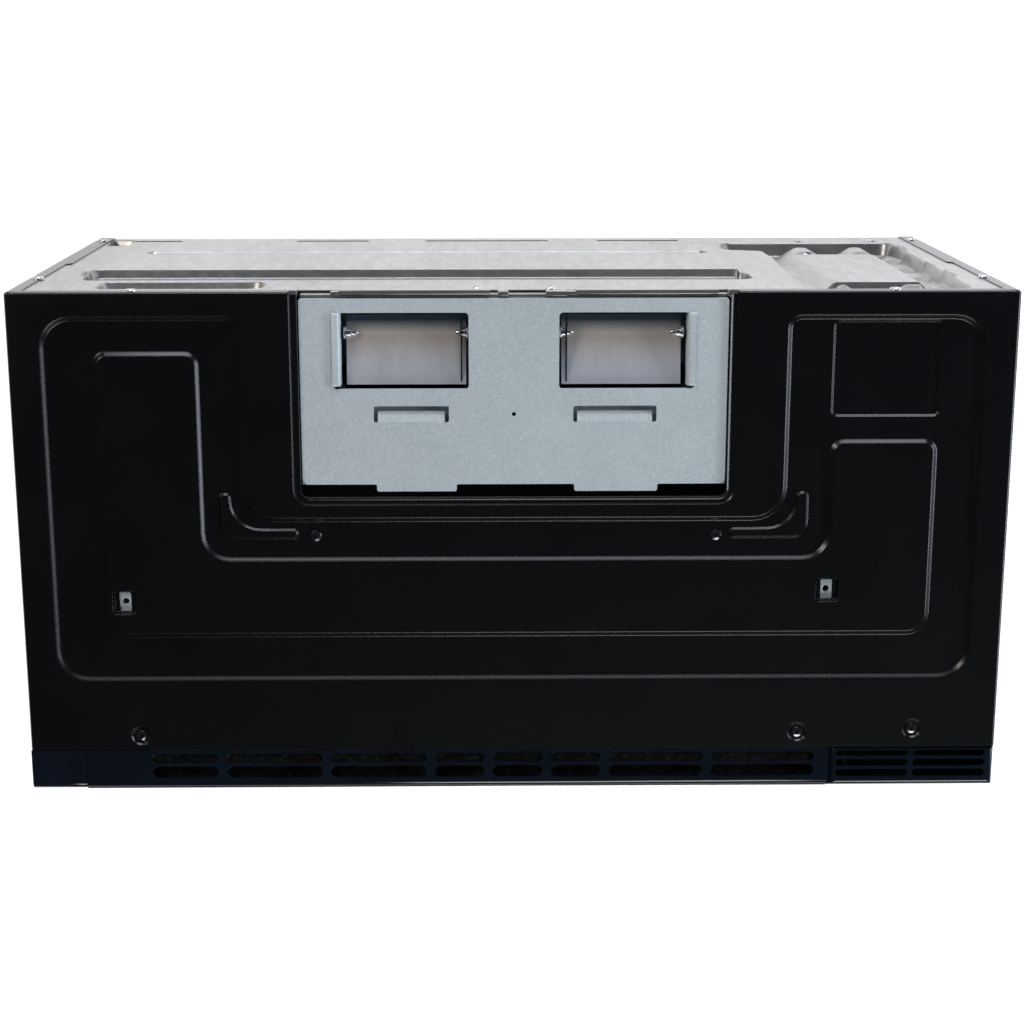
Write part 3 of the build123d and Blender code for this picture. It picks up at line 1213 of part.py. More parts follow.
def make_latch_bar():
    """Upright bar with two barbed hooks that reach through the front plate."""
    low = LATCH_LOW - LATCH_MARGIN
    high = LATCH_HIGH + LATCH_MARGIN
    x0 = LATCH_X - LATCH_W / 2
    x1 = LATCH_X + LATCH_W / 2
    bar = block(x0, x1, LATCH_BACK, LATCH_BACK + LATCH_BAR_T, low, high)
    half = HOOK_H / 2
    for level in (LATCH_LOW, LATCH_HIGH):
        points = [(LATCH_BACK + 1, level - half), (HOOK_TIP + 9, level - half + 3),
                  (HOOK_TIP + 8, level - half - HOOK_BARB), (HOOK_TIP, level), (HOOK_TIP + 2, level + half - 3),
                  (LATCH_BACK + 1, level + half)]
        bar += along_x(points, [0, 1, 1, 2, 2, 0], x0, x1)
    return bar


def make_latch_spring():
    """Bent leaf that presses the bar down."""
    low = LATCH_HIGH + LATCH_MARGIN
    near = LATCH_BACK + 1
    points = [(near, low), (near + SPRING_T, low), (near + 4, low + SPRING_RISE / 2),
              (near + SPRING_T, low + SPRING_RISE), (near, low + SPRING_RISE), (near + 3.2, low + SPRING_RISE / 2)]
    return along_x(points, [0, 0, 1, 0, 0, 0.5], LATCH_X - LATCH_W / 2, LATCH_X + LATCH_W / 2)


def make_door_handle():
    """Bowed bar of one rounded section, bent back to the door at both ends."""
    low, high = handle_ends()
    points = [(HANDLE_X, y_at(DOOR_FACE), low), (HANDLE_X, y_at(HANDLE_MID), low),
              (HANDLE_X, y_at(HANDLE_MID), high), (HANDLE_X, y_at(DOOR_FACE), high)]
    path = FilletPolyline(*points, radius=[HANDLE_BEND, HANDLE_BEND])
    start = Plane(origin=path @ 0, x_dir=(1, 0, 0), z_dir=path % 0)
    section = start * RectangleRounded(HANDLE_W, HANDLE_T, HANDLE_W / 3)
    handle = sweep(section, path=path)
    for z in (low, high):
        handle -= rod_y(HANDLE_SCREW_R, HANDLE_X, DOOR_FACE - 1, DOOR_FACE + 10, z)
    return handle


def make_handle_screws():
    """Screws from inside the door into the handle's feet."""
    rear = FRAME_MOULD_FACE - DOOR_WALL
    screws = []
    for z in handle_ends():
        shank = rod_y(HANDLE_SCREW_R - 0.1, HANDLE_X, rear - 1, DOOR_FACE + 9, z)
        screws.append(shank + rod_y(SCREW_HEAD_R, HANDLE_X, rear - SCREW_HEAD_H, rear, z))
    return Compound(screws)


def make_hinge(top):
    """Hinge plate bent from the front plate's face, with its pin."""
    half = HINGE_PLATE_W / 2
    x0 = FIT - INSIDE
    x1 = HINGE_X + half
    toe = HINGE_DEPTH + PIN_R * 2.5
    if top:
        under = DOOR_TOP + FIT
        over = under + HINGE_PLATE_T
        leg = (over - HINGE_LEG, over)
        pin = (DOOR_TOP - PIN_LENGTH, over)
    else:
        over = DOOR_BOTTOM - FIT
        under = over - HINGE_PLATE_T
        leg = (under, under + HINGE_LEG)
        pin = (under, DOOR_BOTTOM + PIN_LENGTH)
    arm = prism(plan_rectangle(x0, x1, FRAME_FACE - HINGE_PLATE_W, toe, HINGE_PLATE_W / 3), under, over)
    arm &= block(x0, x1, FRAME_FACE, CASE_DEPTH, under, over)
    leaf = block(x0, x1, FRAME_FACE, FRAME_FACE + HINGE_PLATE_T, leg[0], leg[1])
    return arm + leaf + rod_z(PIN_R, HINGE_X, HINGE_DEPTH, pin[0], pin[1])


# ------------------------------------------------------------ turntable
def make_turntable_motor():
    """Flat geared motor under the oven floor."""
    high = CAVITY_FLOOR - CAVITY_T - TRACK_DEPTH
    low = high - MOTOR_DISC_H
    body = rod_z(MOTOR_DISC_R, CAVITY_X, CAVITY_MID_DEPTH, low, high)
    for side in (-1, 1):
        x = CAVITY_X + side * MOTOR_EAR_SPAN
        body += rod_z(MOTOR_EAR_R, x, CAVITY_MID_DEPTH, high - 3, high)
        body += block(min(CAVITY_X, x), max(CAVITY_X, x), CAVITY_MID_DEPTH - MOTOR_EAR_R,
                      CAVITY_MID_DEPTH + MOTOR_EAR_R, high - 3, high)
    body += rod_z(COUPLER_R + 4, CAVITY_X, CAVITY_MID_DEPTH, high - 1, CAVITY_FLOOR - CAVITY_T)
    return body - rod_z(DRIVE_SHAFT_R + RUNNING_FIT, CAVITY_X, CAVITY_MID_DEPTH, low - 1, CAVITY_FLOOR + 1)


def make_turntable_coupler():
    """Three-winged coupler on the drive shaft."""
    low = CAVITY_FLOOR + FIT
    shaft = rod_z(DRIVE_SHAFT_R, CAVITY_X, CAVITY_MID_DEPTH, CAVITY_FLOOR - DRIVE_SHAFT_DROP, low + 1)
    hub = rod_z(COUPLER_R - 1, CAVITY_X, CAVITY_MID_DEPTH, low, TRAY_UNDER)
    coupler = shaft + hub
    place = Pos(CAVITY_X, y_at(CAVITY_MID_DEPTH), (low + 3 + TRAY_UNDER) / 2)
    for index in range(ROLLER_COUNT):
        wing = Pos(COUPLER_WING / 2, 0, 0) * Box(COUPLER_WING, COUPLER_WING_W, TRAY_UNDER - low - 3)
        coupler += place * Rot(0, 0, 360 * index / ROLLER_COUNT) * wing
    return coupler


def make_glass_tray():
    """Turned glass tray with a raised rim and a ring of drive lugs below."""
    high = TRAY_UNDER + TRAY_T
    edge = TRAY_R
    lip = TRAY_T - 1
    profile = Polyline((0, TRAY_UNDER), (edge - 18, TRAY_UNDER), (edge, high + TRAY_RIM - lip),
                       (edge, high + TRAY_RIM), (edge - 3, high + TRAY_RIM), (edge - 20, high), (0, high),
                       close=True)
    tray = revolve(Plane.XZ * make_face(profile), axis=Axis.Z)
    drop = TRAY_UNDER - 4
    for index in range(ROLLER_COUNT):
        angle = 360 * (index + 0.5) / ROLLER_COUNT
        lug = Pos(COUPLER_WING * 0.8, 0, (drop + TRAY_UNDER + 1) / 2) * Cylinder(3, TRAY_UNDER + 1 - drop)
        tray += Rot(0, 0, angle) * lug
    return Pos(CAVITY_X, y_at(CAVITY_MID_DEPTH), 0) * tray


def make_roller_ring():
    """Plastic ring with three radial stubs for the rollers."""
    ring = Cylinder(RING_R + RING_W / 2, RING_H) - Cylinder(RING_R - RING_W / 2, 2 * RING_H)
    for index in range(ROLLER_COUNT):
        stub = Pos(RING_R + STUB_LENGTH / 2, 0, 0) * Rot(0, 90, 0) * Cylinder(STUB_R, STUB_LENGTH)
        ring += Rot(0, 0, 360 * index / ROLLER_COUNT) * stub
    return Pos(CAVITY_X, y_at(CAVITY_MID_DEPTH), ROLLER_Z) * ring


def make_roller(index):
    """Roller that runs on a stub between the oven floor and the tray."""
    wheel = Cylinder(ROLLER_R, ROLLER_W) - Cylinder(STUB_R + RUNNING_FIT, 2 * ROLLER_W)
    place = Pos(CAVITY_X, y_at(CAVITY_MID_DEPTH), ROLLER_Z) * Rot(0, 0, 360 * index / ROLLER_COUNT)
    return place * Pos(ROLLER_CENTRE_R, 0, 0) * Rot(0, 90, 0) * wheel


# ------------------------------------------------------------ electronics
def make_waveguide():
    """Rectangular duct from the magnetron to the feed opening."""
    d0 = FEED_DEPTH - GUIDE_WIDTH / 2
    d1 = FEED_DEPTH + GUIDE_WIDTH / 2
    z0 = FEED_Z - GUIDE_HEIGHT / 2
    z1 = FEED_Z + GUIDE_HEIGHT / 2
    duct = block(WALL_OUT, FEED_X, d0, d1, z0, z1)
    duct -= block(WALL_OUT - 1, FEED_X - GUIDE_T, d0 + GUIDE_T, d1 - GUIDE_T, z0 + GUIDE_T, z1 - GUIDE_T)
    return duct - rod_x(ANTENNA_R + FIT, FEED_X - 2, FEED_X + 1, FEED_DEPTH, FEED_Z)


def make_magnetron():
    """Magnetron: yoke, cooling fins round the tube core, antenna into the waveguide."""
    x0 = FEED_X
    d0 = FEED_DEPTH - YOKE_D / 2
    d1 = FEED_DEPTH + YOKE_D / 2
    z0 = FEED_Z - YOKE_H / 2
    z1 = FEED_Z + YOKE_H / 2
    yoke = block(x0, x0 + YOKE_W, d0, d1, z0, z1)
    yoke -= block(x0 + YOKE_T, x0 + YOKE_W - YOKE_T, d0 - 1, d1 + 1, z0 + YOKE_T, z1 - YOKE_T)
    tube = yoke + rod_x(TUBE_CORE_R, x0 + 1, x0 + YOKE_W - 1, FEED_DEPTH, FEED_Z)
    start = x0 + YOKE_W / 2 - (FIN_COUNT - 1) * FIN_PITCH / 2
    for index in range(FIN_COUNT):
        x = start + index * FIN_PITCH
        tube += block(x - FIN_T / 2, x + FIN_T / 2, d0 + 1, d1 - 1, z0 + 1, z1 - 1)
    tube += rod_x(ANTENNA_R, x0 - ANTENNA_LENGTH, x0 + 1, FEED_DEPTH, FEED_Z)
    tail = x0 + YOKE_W
    tube += block(tail - 1, tail + 20, FEED_DEPTH - 16, FEED_DEPTH + 16, FEED_Z - 18, FEED_Z + 18)
    return tube


def make_hv_transformer():
    """Laminated core on its foot plate with two windings."""
    low = SHEET
    foot = block(TRANSFORMER_X - CORE_W / 2 - 8, TRANSFORMER_X + CORE_W / 2 + 8, TRANSFORMER_DEPTH - CORE_D / 2,
                 TRANSFORMER_DEPTH + CORE_D / 2, low, low + FOOT_T)
    core = block(TRANSFORMER_X - CORE_W / 2, TRANSFORMER_X + CORE_W / 2, TRANSFORMER_DEPTH - CORE_D / 2,
                 TRANSFORMER_DEPTH + CORE_D / 2, low, low + CORE_H)
    middle = low + CORE_H / 2
    reach = CORE_D / 2 + COIL_OUT
    coil = plan_rectangle(TRANSFORMER_X - CORE_W / 4, TRANSFORMER_X + CORE_W / 4, TRANSFORMER_DEPTH - reach,
                          TRANSFORMER_DEPTH + reach, COIL_OUT)
    return foot + core + prism(coil, middle - COIL_H / 2, middle + COIL_H / 2)


def capacitor_outline(extra):
    """Oval can outline grown by an allowance."""
    half_w = CAPACITOR_W / 2 + extra
    half_d = CAPACITOR_D / 2 + extra
    return plan_rectangle(CAPACITOR_X - half_w, CAPACITOR_X + half_w, CAPACITOR_DEPTH - half_d,
                          CAPACITOR_DEPTH + half_d, half_d - 0.1)


def make_hv_capacitor():
    """Oval can with rolled rims and two blade terminals."""
    low = SHEET
    can = prism(capacitor_outline(0), low, low + CAPACITOR_H)
    can += prism(capacitor_outline(1.5), low, low + 3)
    can += prism(capacitor_outline(1.5), low + CAPACITOR_H - 3, low + CAPACITOR_H)
    for side in (-1, 1):
        x = CAPACITOR_X + side * CAPACITOR_W / 4
        can += block(x - TERMINAL_W / 2, x + TERMINAL_W / 2, CAPACITOR_DEPTH - 0.5, CAPACITOR_DEPTH + 0.5,
                     low + CAPACITOR_H - 1, low + CAPACITOR_H + TERMINAL_H)
    return can


def make_hv_diode():
    """Diode body lying on the base with its ring lug."""
    depth = CAPACITOR_DEPTH - CAPACITOR_D / 2 - DIODE_R * 4
    x0 = CAPACITOR_X - DIODE_LENGTH / 2
    body = rod_x(DIODE_R, x0, x0 + DIODE_LENGTH, depth, SHEET + DIODE_R)
    lug = rod_z(DIODE_R * 1.2, x0 + DIODE_LENGTH + 2 * DIODE_R, depth, SHEET, SHEET + 1)
    return body + lug + block(x0 + DIODE_LENGTH - 1, x0 + DIODE_LENGTH + 2 * DIODE_R, depth - 1, depth + 1,
                              SHEET, SHEET + 1)


def make_fan_duct():
    """Partition with the fan's round opening, ring and two arms for the motor."""
    x0 = FAN_X - PARTITION_W / 2
    x1 = FAN_X + PARTITION_W / 2
    duct = block(x0, x1, FAN_DEPTH, FAN_DEPTH + FAN_RING_T, SHEET + FIT / 3, PARTITION_TOP)
    duct += rod_y(FAN_OPEN_R + FAN_RING_T, FAN_X, FAN_DEPTH - FAN_RING_L, FAN_DEPTH + 1, FAN_Z)
    duct -= rod_y(FAN_OPEN_R, FAN_X, FAN_DEPTH - FAN_RING_L - 1, FAN_DEPTH + FAN_RING_T + 1, FAN_Z)
    arm = FAN_ARM / 2
    rear = FAN_MOTOR_BACK + FAN_MOTOR_L
    for side in (-1, 1):
        x = FAN_X + side * (FAN_OPEN_R + FAN_RING_T - arm)
        duct += block(x - arm, x + arm, rear, FAN_DEPTH - FAN_RING_L + 1, FAN_Z - arm, FAN_Z + arm)
        inner = FAN_X + side * FAN_MOTOR_W / 4
        duct += block(min(x, inner), max(x, inner), rear, rear + FAN_RING_T, FAN_Z - arm, FAN_Z + arm)
    return duct


def make_fan_motor():
    """Shaded-pole motor: lamination stack and coil, with its bearing bore."""
    front = FAN_MOTOR_BACK + FAN_MOTOR_L
    body = block(FAN_X - FAN_MOTOR_W / 2, FAN_X + FAN_MOTOR_W / 2, front - 14, front,
                 FAN_Z - FAN_MOTOR_H / 2, FAN_Z + FAN_MOTOR_H / 2)
    body += block(FAN_X - FAN_MOTOR_W / 3, FAN_X + FAN_MOTOR_W / 3, FAN_MOTOR_BACK, front - 1,
                  FAN_Z - FAN_MOTOR_H / 2, FAN_Z - FAN_MOTOR_H / 6)
    body += rod_y(FAN_HUB_R - 2, FAN_X, FAN_MOTOR_BACK, front + 2, FAN_Z)
    return body - rod_y(FAN_SHAFT_R + RUNNING_FIT, FAN_X, FAN_MOTOR_BACK - 1, front + 3, FAN_Z)


def make_fan_blade():
    """Axial fan: hub on its shaft with pitched blades."""
    tip = FAN_OPEN_R - FAN_TIP_GAP
    hub = Cylinder(FAN_HUB_R, FAN_HUB_L)
    span = tip - FAN_HUB_R + 4
    limit = Cylinder(tip, 3 * FAN_HUB_L)
    for index in range(FAN_BLADES):
        blade = Pos(FAN_HUB_R - 4 + span / 2, 0, 0) * Rot(FAN_PITCH, 0, 0) * Box(span, FAN_HUB_L * 1.7, FAN_BLADE_T)
        hub += Rot(0, 0, 360 * index / FAN_BLADES) * (blade & limit)
    middle = FAN_DEPTH - FAN_HUB_L / 2
    fan = Pos(FAN_X, y_at(middle), FAN_Z) * Rot(90, 0, 0) * hub
    return fan + rod_y(FAN_SHAFT_R, FAN_X, FAN_MOTOR_BACK + 2, middle, FAN_Z)


def make_noise_filter_board():
    """Mains filter board on standoffs behind the front plate, with fuse and coil."""
    rear = FRAME_REAR - 7
    x0 = PANEL_MID - NOISE_W / 2
    x1 = PANEL_MID + NOISE_W / 2
    z0 = NOISE_Z - NOISE_H / 2
    z1 = NOISE_Z + NOISE_H / 2
    board = block(x0, x1, rear - BOARD_T, rear, z0, z1)
    for x in (x0 + 6, x1 - 6):
        for z in (z0 + 6, z1 - 6):
            board += rod_y(STANDOFF_R, x, rear - 1, FRAME_REAR, z)
    face = rear - BOARD_T
    board += rod_y(CHOKE_COIL_R, x0 + 24, face - CHOKE_COIL_H, face + 0.5, NOISE_Z)
    board += rod_x(FUSE_R, x1 - 34, x1 - 34 + FUSE_LENGTH, face - FUSE_R + 0.5, NOISE_Z + 14)
    return board


def make_thermostats():
    """Two cut-outs clamped to the oven's side walls."""
    depth = CAVITY_REAR + CAVITY_DEPTH / 3
    z = CAVITY_FLOOR + CAVITY_HEIGHT / 4
    left = CAVITY_LEFT - CAVITY_T
    discs = [rod_x(THERMOSTAT_R, WALL_OUT, WALL_OUT + THERMOSTAT_H, depth, z),
             rod_x(THERMOSTAT_R, left - THERMOSTAT_H, left, depth, z)]
    return Compound(discs)


def make_interlock_bracket():
    """Moulded catch block behind the latch slots."""
    x0 = LATCH_X - LOCK_W / 2
    x1 = LATCH_X + LOCK_W / 2
    lock = block(x0, x1, FRAME_REAR - LOCK_D, FRAME_REAR, LATCH_LOW - LOCK_MARGIN - HOOK_H,
                 LATCH_HIGH + LOCK_MARGIN + HOOK_H)
    for level in (LATCH_LOW, LATCH_HIGH):
        lock -= latch_slot(level, FRAME_REAR + 1, HOOK_TIP - 3)
    middle = (LATCH_LOW + LATCH_HIGH) / 2
    lock -= block(x0 - 1, x1 + 1, FRAME_REAR - LOCK_D - 1, FRAME_REAR - LOCK_D / 3, middle - 30, middle + 30)
    return lock


def make_interlock_switches():
    """Three microswitches on the catch block's outer side."""
    x0 = LATCH_X + LOCK_W / 2
    switches = []
    for z in (LATCH_LOW, (LATCH_LOW + LATCH_HIGH) / 2, LATCH_HIGH):
        body = block(x0, x0 + SWITCH_W, FRAME_REAR - SWITCH_D - 2, FRAME_REAR - 2, z - SWITCH_H / 2,
                     z + SWITCH_H / 2)
        body += block(x0 + SWITCH_W / 3, x0 + 2 * SWITCH_W / 3, FRAME_REAR - SWITCH_D - 9,
                      FRAME_REAR - SWITCH_D, z - 3, z + 3)
        switches.append(body)
    return Compound(switches)


# ------------------------------------------------------------ every piece under its name
pieces = {
    "outer_wrap": make_outer_wrap(),
    "back_panel": make_back_panel(),
    "base_plate": make_base_plate(),
    "front_frame": make_front_frame(),
    "cavity": make_cavity(),
    "waveguide_cover": make_waveguide_cover(),
    "cavity_lamp": make_cavity_lamp(),
    "bolt_nuts": make_bolt_nuts(),
    "top_screws": make_top_screws(),
    "rear_screws": make_rear_screws(),
    "blower_plate": make_blower_plate(),
    "blower_scroll_left": make_blower_scroll(-1),
    "blower_scroll_right": make_blower_scroll(1),
    "blower_motor": make_blower_motor(),
    "blower_shaft": make_blower_shaft(),
    "blower_wheel_left": make_blower_wheel(-1),
    "blower_wheel_right": make_blower_wheel(1),
    "vent_grille": make_vent_grille(),
    "grille_end_cap": make_grille_end_cap(),
    "charcoal_filter": make_charcoal_filter(),
    "control_panel": make_control_panel(),
    "display_window": make_display_window(),
    "keypad": make_keypad(),
    "control_board": make_control_board(),
    "grease_filter_left": make_grease_filter(GREASE_X[0]),
    "grease_filter_right": make_grease_filter(GREASE_X[1]),
    "cooktop_lamps": make_cooktop_lamps(),
    "lamp_cover": make_lamp_cover(),
    "door_frame": make_door_frame(),
    "door_skin": make_door_skin(),
    "door_glass": make_door_glass(),
    "door_inner_panel": make_door_inner_panel(),
    "door_screen": make_door_screen(),
    "door_inner_glass": make_door_inner_glass(),
    "choke_cover": make_choke_cover(),
    "latch_bar": make_latch_bar(),
    "latch_spring": make_latch_spring(),
    "door_handle": make_door_handle(),
    "handle_screws": make_handle_screws(),
    "hinge_upper": make_hinge(True),
    "hinge_lower": make_hinge(False),
    "turntable_motor": make_turntable_motor(),
    "turntable_coupler": make_turntable_coupler(),
    "glass_tray": make_glass_tray(),
    "roller_ring": make_roller_ring(),
    "waveguide": make_waveguide(),
    "magnetron": make_magnetron(),
    "hv_transformer": make_hv_transformer(),
    "hv_capacitor": make_hv_capacitor(),
    "hv_diode": make_hv_diode(),
    "fan_duct": make_fan_duct(),
    "fan_motor": make_fan_motor(),
    "fan_blade": make_fan_blade(),
    "noise_filter_board": make_noise_filter_board(),
    "thermostats": make_thermostats(),
    "interlock_bracket": make_interlock_bracket(),
    "interlock_switches": make_interlock_switches(),
}
for number in range(ROLLER_COUNT):
    pieces["roller_" + str(number + 1)] = make_roller(number)

for name, shape in pieces.items():
    export_step(shape, "parts/" + name + ".step")
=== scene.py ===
import cmath
import json
import math
from contextlib import contextmanager

import bmesh
import bpy
import numpy as np
from mathutils import Matrix, Vector
from mathutils.geometry import delaunay_2d_cdt


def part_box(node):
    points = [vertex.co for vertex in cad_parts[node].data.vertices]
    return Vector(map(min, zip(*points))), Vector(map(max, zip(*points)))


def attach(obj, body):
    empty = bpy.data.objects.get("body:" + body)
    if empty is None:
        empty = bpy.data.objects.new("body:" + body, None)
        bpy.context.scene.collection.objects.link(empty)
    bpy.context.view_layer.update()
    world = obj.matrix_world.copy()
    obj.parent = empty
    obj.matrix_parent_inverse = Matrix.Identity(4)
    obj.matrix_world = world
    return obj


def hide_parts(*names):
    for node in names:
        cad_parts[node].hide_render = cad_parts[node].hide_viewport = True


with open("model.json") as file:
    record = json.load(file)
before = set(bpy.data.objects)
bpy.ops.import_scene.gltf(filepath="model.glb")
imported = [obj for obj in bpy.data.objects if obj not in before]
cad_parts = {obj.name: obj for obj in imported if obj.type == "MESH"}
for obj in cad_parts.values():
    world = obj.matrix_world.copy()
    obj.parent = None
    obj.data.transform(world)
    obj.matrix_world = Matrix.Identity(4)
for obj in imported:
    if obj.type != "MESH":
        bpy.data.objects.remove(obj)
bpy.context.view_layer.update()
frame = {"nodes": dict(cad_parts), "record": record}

bl_info = {
    "name": "Over-the-range microwave",
    "version": (1, 0, 0),
    "blender": (4, 5, 0),
    "location": "View3D > Sidebar > Microwave",
    "description": "Dresses the microwave's construction with pressed sheets, mouldings and finishes",
    "category": "Object",
}

# Lengths in this file are millimetres until a mesh is made. "Depth" is measured forwards from the wall plane.
MM = 0.001
NODES = frame["nodes"]
SUBPARTS = {part["node"]: part["material_slot"] for part in frame["record"]["subparts"]}
BODY_OF = {node: body for body, nodes in frame["record"]["behaviour"]["bodies"].items() for node in nodes}


def node_box(node):
    """Lowest and highest corner of a construction node in millimetres."""
    low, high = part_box(node)
    return [value / MM for value in low], [value / MM for value in high]


HALF = node_box("outer_wrap")[1][0]
TOP = node_box("outer_wrap")[1][2]
BACK_Y = node_box("back_panel")[1][1]
WRAP_DEPTH = BACK_Y - node_box("outer_wrap")[0][1]
FACE_DEPTH = BACK_Y - node_box("vent_grille")[0][1]
PLATE_LEVEL = TOP - 2.5  # blower plate's top
CREASE_DEPTH = 34.1  # bend and pivot of the back-draft flaps
SHEET = 1.0  # thickness of the case's sheets
MIDDLE = (0, 0, 0.2)  # a point inside the case, in metres


# --- colours and materials
def linear(hex_colour):
    """Linear RGBA of an sRGB hex colour."""
    channels = []
    for start in (1, 3, 5):
        value = int(hex_colour[start:start + 2], 16) / 255
        if value <= 0.04045:
            channels.append(value / 12.92)
        else:
            channels.append(((value + 0.055) / 1.055) ** 2.4)
    return (*channels, 1.0)


def add(tree, kind, inputs=None, **settings):
    """Add a node with its settings; an input is a value, or the sockets or nodes (first output) that feed it."""
    node = tree.nodes.new(kind)
    for name, value in settings.items():
        setattr(node, name, value)
    for name, value in (inputs or {}).items():
        for source in value if isinstance(value, list) else [value]:
            if isinstance(source, bpy.types.Node):
                source = next(socket for socket in source.outputs if socket.enabled)
            if isinstance(source, bpy.types.NodeSocket):
                tree.links.new(source, node.inputs[name])
            else:
                node.inputs[name].default_value = source
    return node


def bare_material(name):
    """New material and its emptied node tree."""
    made = bpy.data.materials.new(name)
    made.use_nodes = True
    made.node_tree.nodes.clear()
    return made, made.node_tree


def finish(name, dark, light, rough, patch, fine, depth, stretch=(1.0, 1.0, 1.0), layers=(), height=None, **inputs):
    """Material whose colour drifts over patches, and whose roughness and relief follow a fine grain.

    rough is the roughness's range; patch, fine and depth are millimetres. layers holds (mask, tone) pairs that
    go over the colour. height, where given, takes the grain's place in the relief.
    """
    made, tree = bare_material(name)
    place = add(tree, "ShaderNodeTexCoord").outputs["Object"]
    at = add(tree, "ShaderNodeMapping", {"Vector": place, "Scale": stretch})
    broad = add(tree, "ShaderNodeTexNoise", {"Vector": at, "Scale": 1 / (patch * MM), "Detail": 3.0})
    spread = {"From Min": 0.3, "From Max": 0.7}
    broad = add(tree, "ShaderNodeMapRange", {"Value": broad, **spread})
    colour = add(tree, "ShaderNodeMix", {"Factor": broad, 6: linear(dark), 7: linear(light)}, data_type="RGBA")
    for mask, tone in layers:
        colour = add(tree, "ShaderNodeMix", {"Factor": mask(tree, place), 6: colour, 7: linear(tone)},
                     data_type="RGBA")
    grain = add(tree, "ShaderNodeTexNoise", {"Vector": at, "Scale": 1 / (fine * MM), "Detail": 2.0})
    shine = add(tree, "ShaderNodeMapRange", {"Value": grain, **spread, "To Min": rough[0], "To Max": rough[1]})
    grain, strength = (height(tree, place), 1.0) if height else (grain, 0.6)
    relief = add(tree, "ShaderNodeBump", {"Height": grain, "Distance": depth * MM, "Strength": strength})
    given = {key.replace("_", " "): value for key, value in inputs.items()}
    shader = add(tree, "ShaderNodeBsdfPrincipled", {"Base Color": colour, "Roughness": shine, "Normal": relief,
                                                    **given})
    add(tree, "ShaderNodeOutputMaterial", {"Surface": shader})
    return made


def spangle(tree, place):
    """Zinc crystals under a speckle of about 0.3 mm, drawn at 0.9 mm so that it shows at this picture's scale."""
    crystal = add(tree, "ShaderNodeTexVoronoi", {"Vector": place, "Scale": 1 / (1.7 * MM)}).outputs["Color"]
    tone = add(tree, "ShaderNodeRGBToBW", {"Color": crystal})
    speck = add(tree, "ShaderNodeTexNoise", {"Vector": place, "Scale": 1 / (0.9 * MM), "Detail": 3.0})
    speck = add(tree, "ShaderNodeMapRange", {"Value": speck, "From Min": 0.35, "From Max": 0.65})
    return add(tree, "ShaderNodeMath", {0: speck, 1: tone}, operation="MULTIPLY")


def along_y(start, end, kind="LINEAR"):
    """Mask that grows from one place to another along Y."""
    def mask(tree, place):
        ahead = add(tree, "ShaderNodeSeparateXYZ", {"Vector": place}).outputs["Y"]
        return add(tree, "ShaderNodeMapRange", {"Value": ahead, "From Min": start, "From Max": end},
                   interpolation_type=kind)
    return mask


def damper_sheet_painted_light():
    """Thin rolled flap sheet: a painted highlight by its crease, lilac-grey further out, and painted shade behind the
    pin.
    """
    crease = (BACK_Y - CREASE_DEPTH) * MM
    # the pale straw tone towards the crease is a painted highlight; the slate behind the pin is painted shade
    layers = [(along_y(crease - 0.03, crease, "SMOOTHSTEP"), "#E4D8CF"), (along_y(crease, crease + 0.009), "#2B3A4A")]
    return finish("damper_sheet_painted_light", "#D1D4DD", "#DCDEE6", (0.3, 0.42), 30, 3, 0.006, (1.0, 0.2, 1.0), layers,
                  Metallic=0.45)


def moulded(name, dark, light, roughness, fine=0.8, depth=0.01):
    """Injection-moulded plastic with a light spark-eroded texture."""
    return finish(name, dark, light, (roughness * 0.85, roughness * 1.15), 35, fine, depth, IOR=1.53)


def mill_metal(name, dark, light, roughness, patch=8.0, metallic=1.0):
    """Mill-finish or plated metal with a soft mottle."""
    return finish(name, dark, light, (roughness * 0.8, roughness * 1.2), patch, 0.6, 0.006, Metallic=metallic)


def flecks(tree, place):
    """Fine fired flecks."""
    fleck = add(tree, "ShaderNodeTexNoise", {"Vector": place, "Scale": 1 / (0.9 * MM), "Detail": 1.0})
    return add(tree, "ShaderNodeMapRange", {"Value": fleck, "From Min": 0.62, "From Max": 0.68})


def clear_glass(name, colour, rough=(0.01, 0.04)):
    """Tempered soda-lime glass."""
    return finish(name, colour, colour, rough, 60, 40, 0.002, IOR=1.52, Transmission_Weight=1.0)


def worn_faces(tree, place):
    """Cells of which the lightest show."""
    cell = add(tree, "ShaderNodeTexVoronoi", {"Vector": place, "Scale": 1 / (2.0 * MM)}).outputs["Color"]
    tone = add(tree, "ShaderNodeRGBToBW", {"Color": cell})
    return add(tree, "ShaderNodeMapRange", {"Value": tone, "From Min": 0.6, "From Max": 0.95})


def bands(width, **settings):
    """Height of wavy bands, of a width in millimetres."""
    def height(tree, place):
        return add(tree, "ShaderNodeTexWave", {"Vector": place, "Scale": 1 / (width * MM)}, **settings).outputs["Fac"]
    return height


def printed_ink(name, colour, glow=0.0):
    """Screen-printed legend or lit segment behind the window."""
    return finish(name, colour, colour, (0.4, 0.5), 20, 1, 0.002, Emission_Color=linear(colour),
                  Emission_Strength=glow)


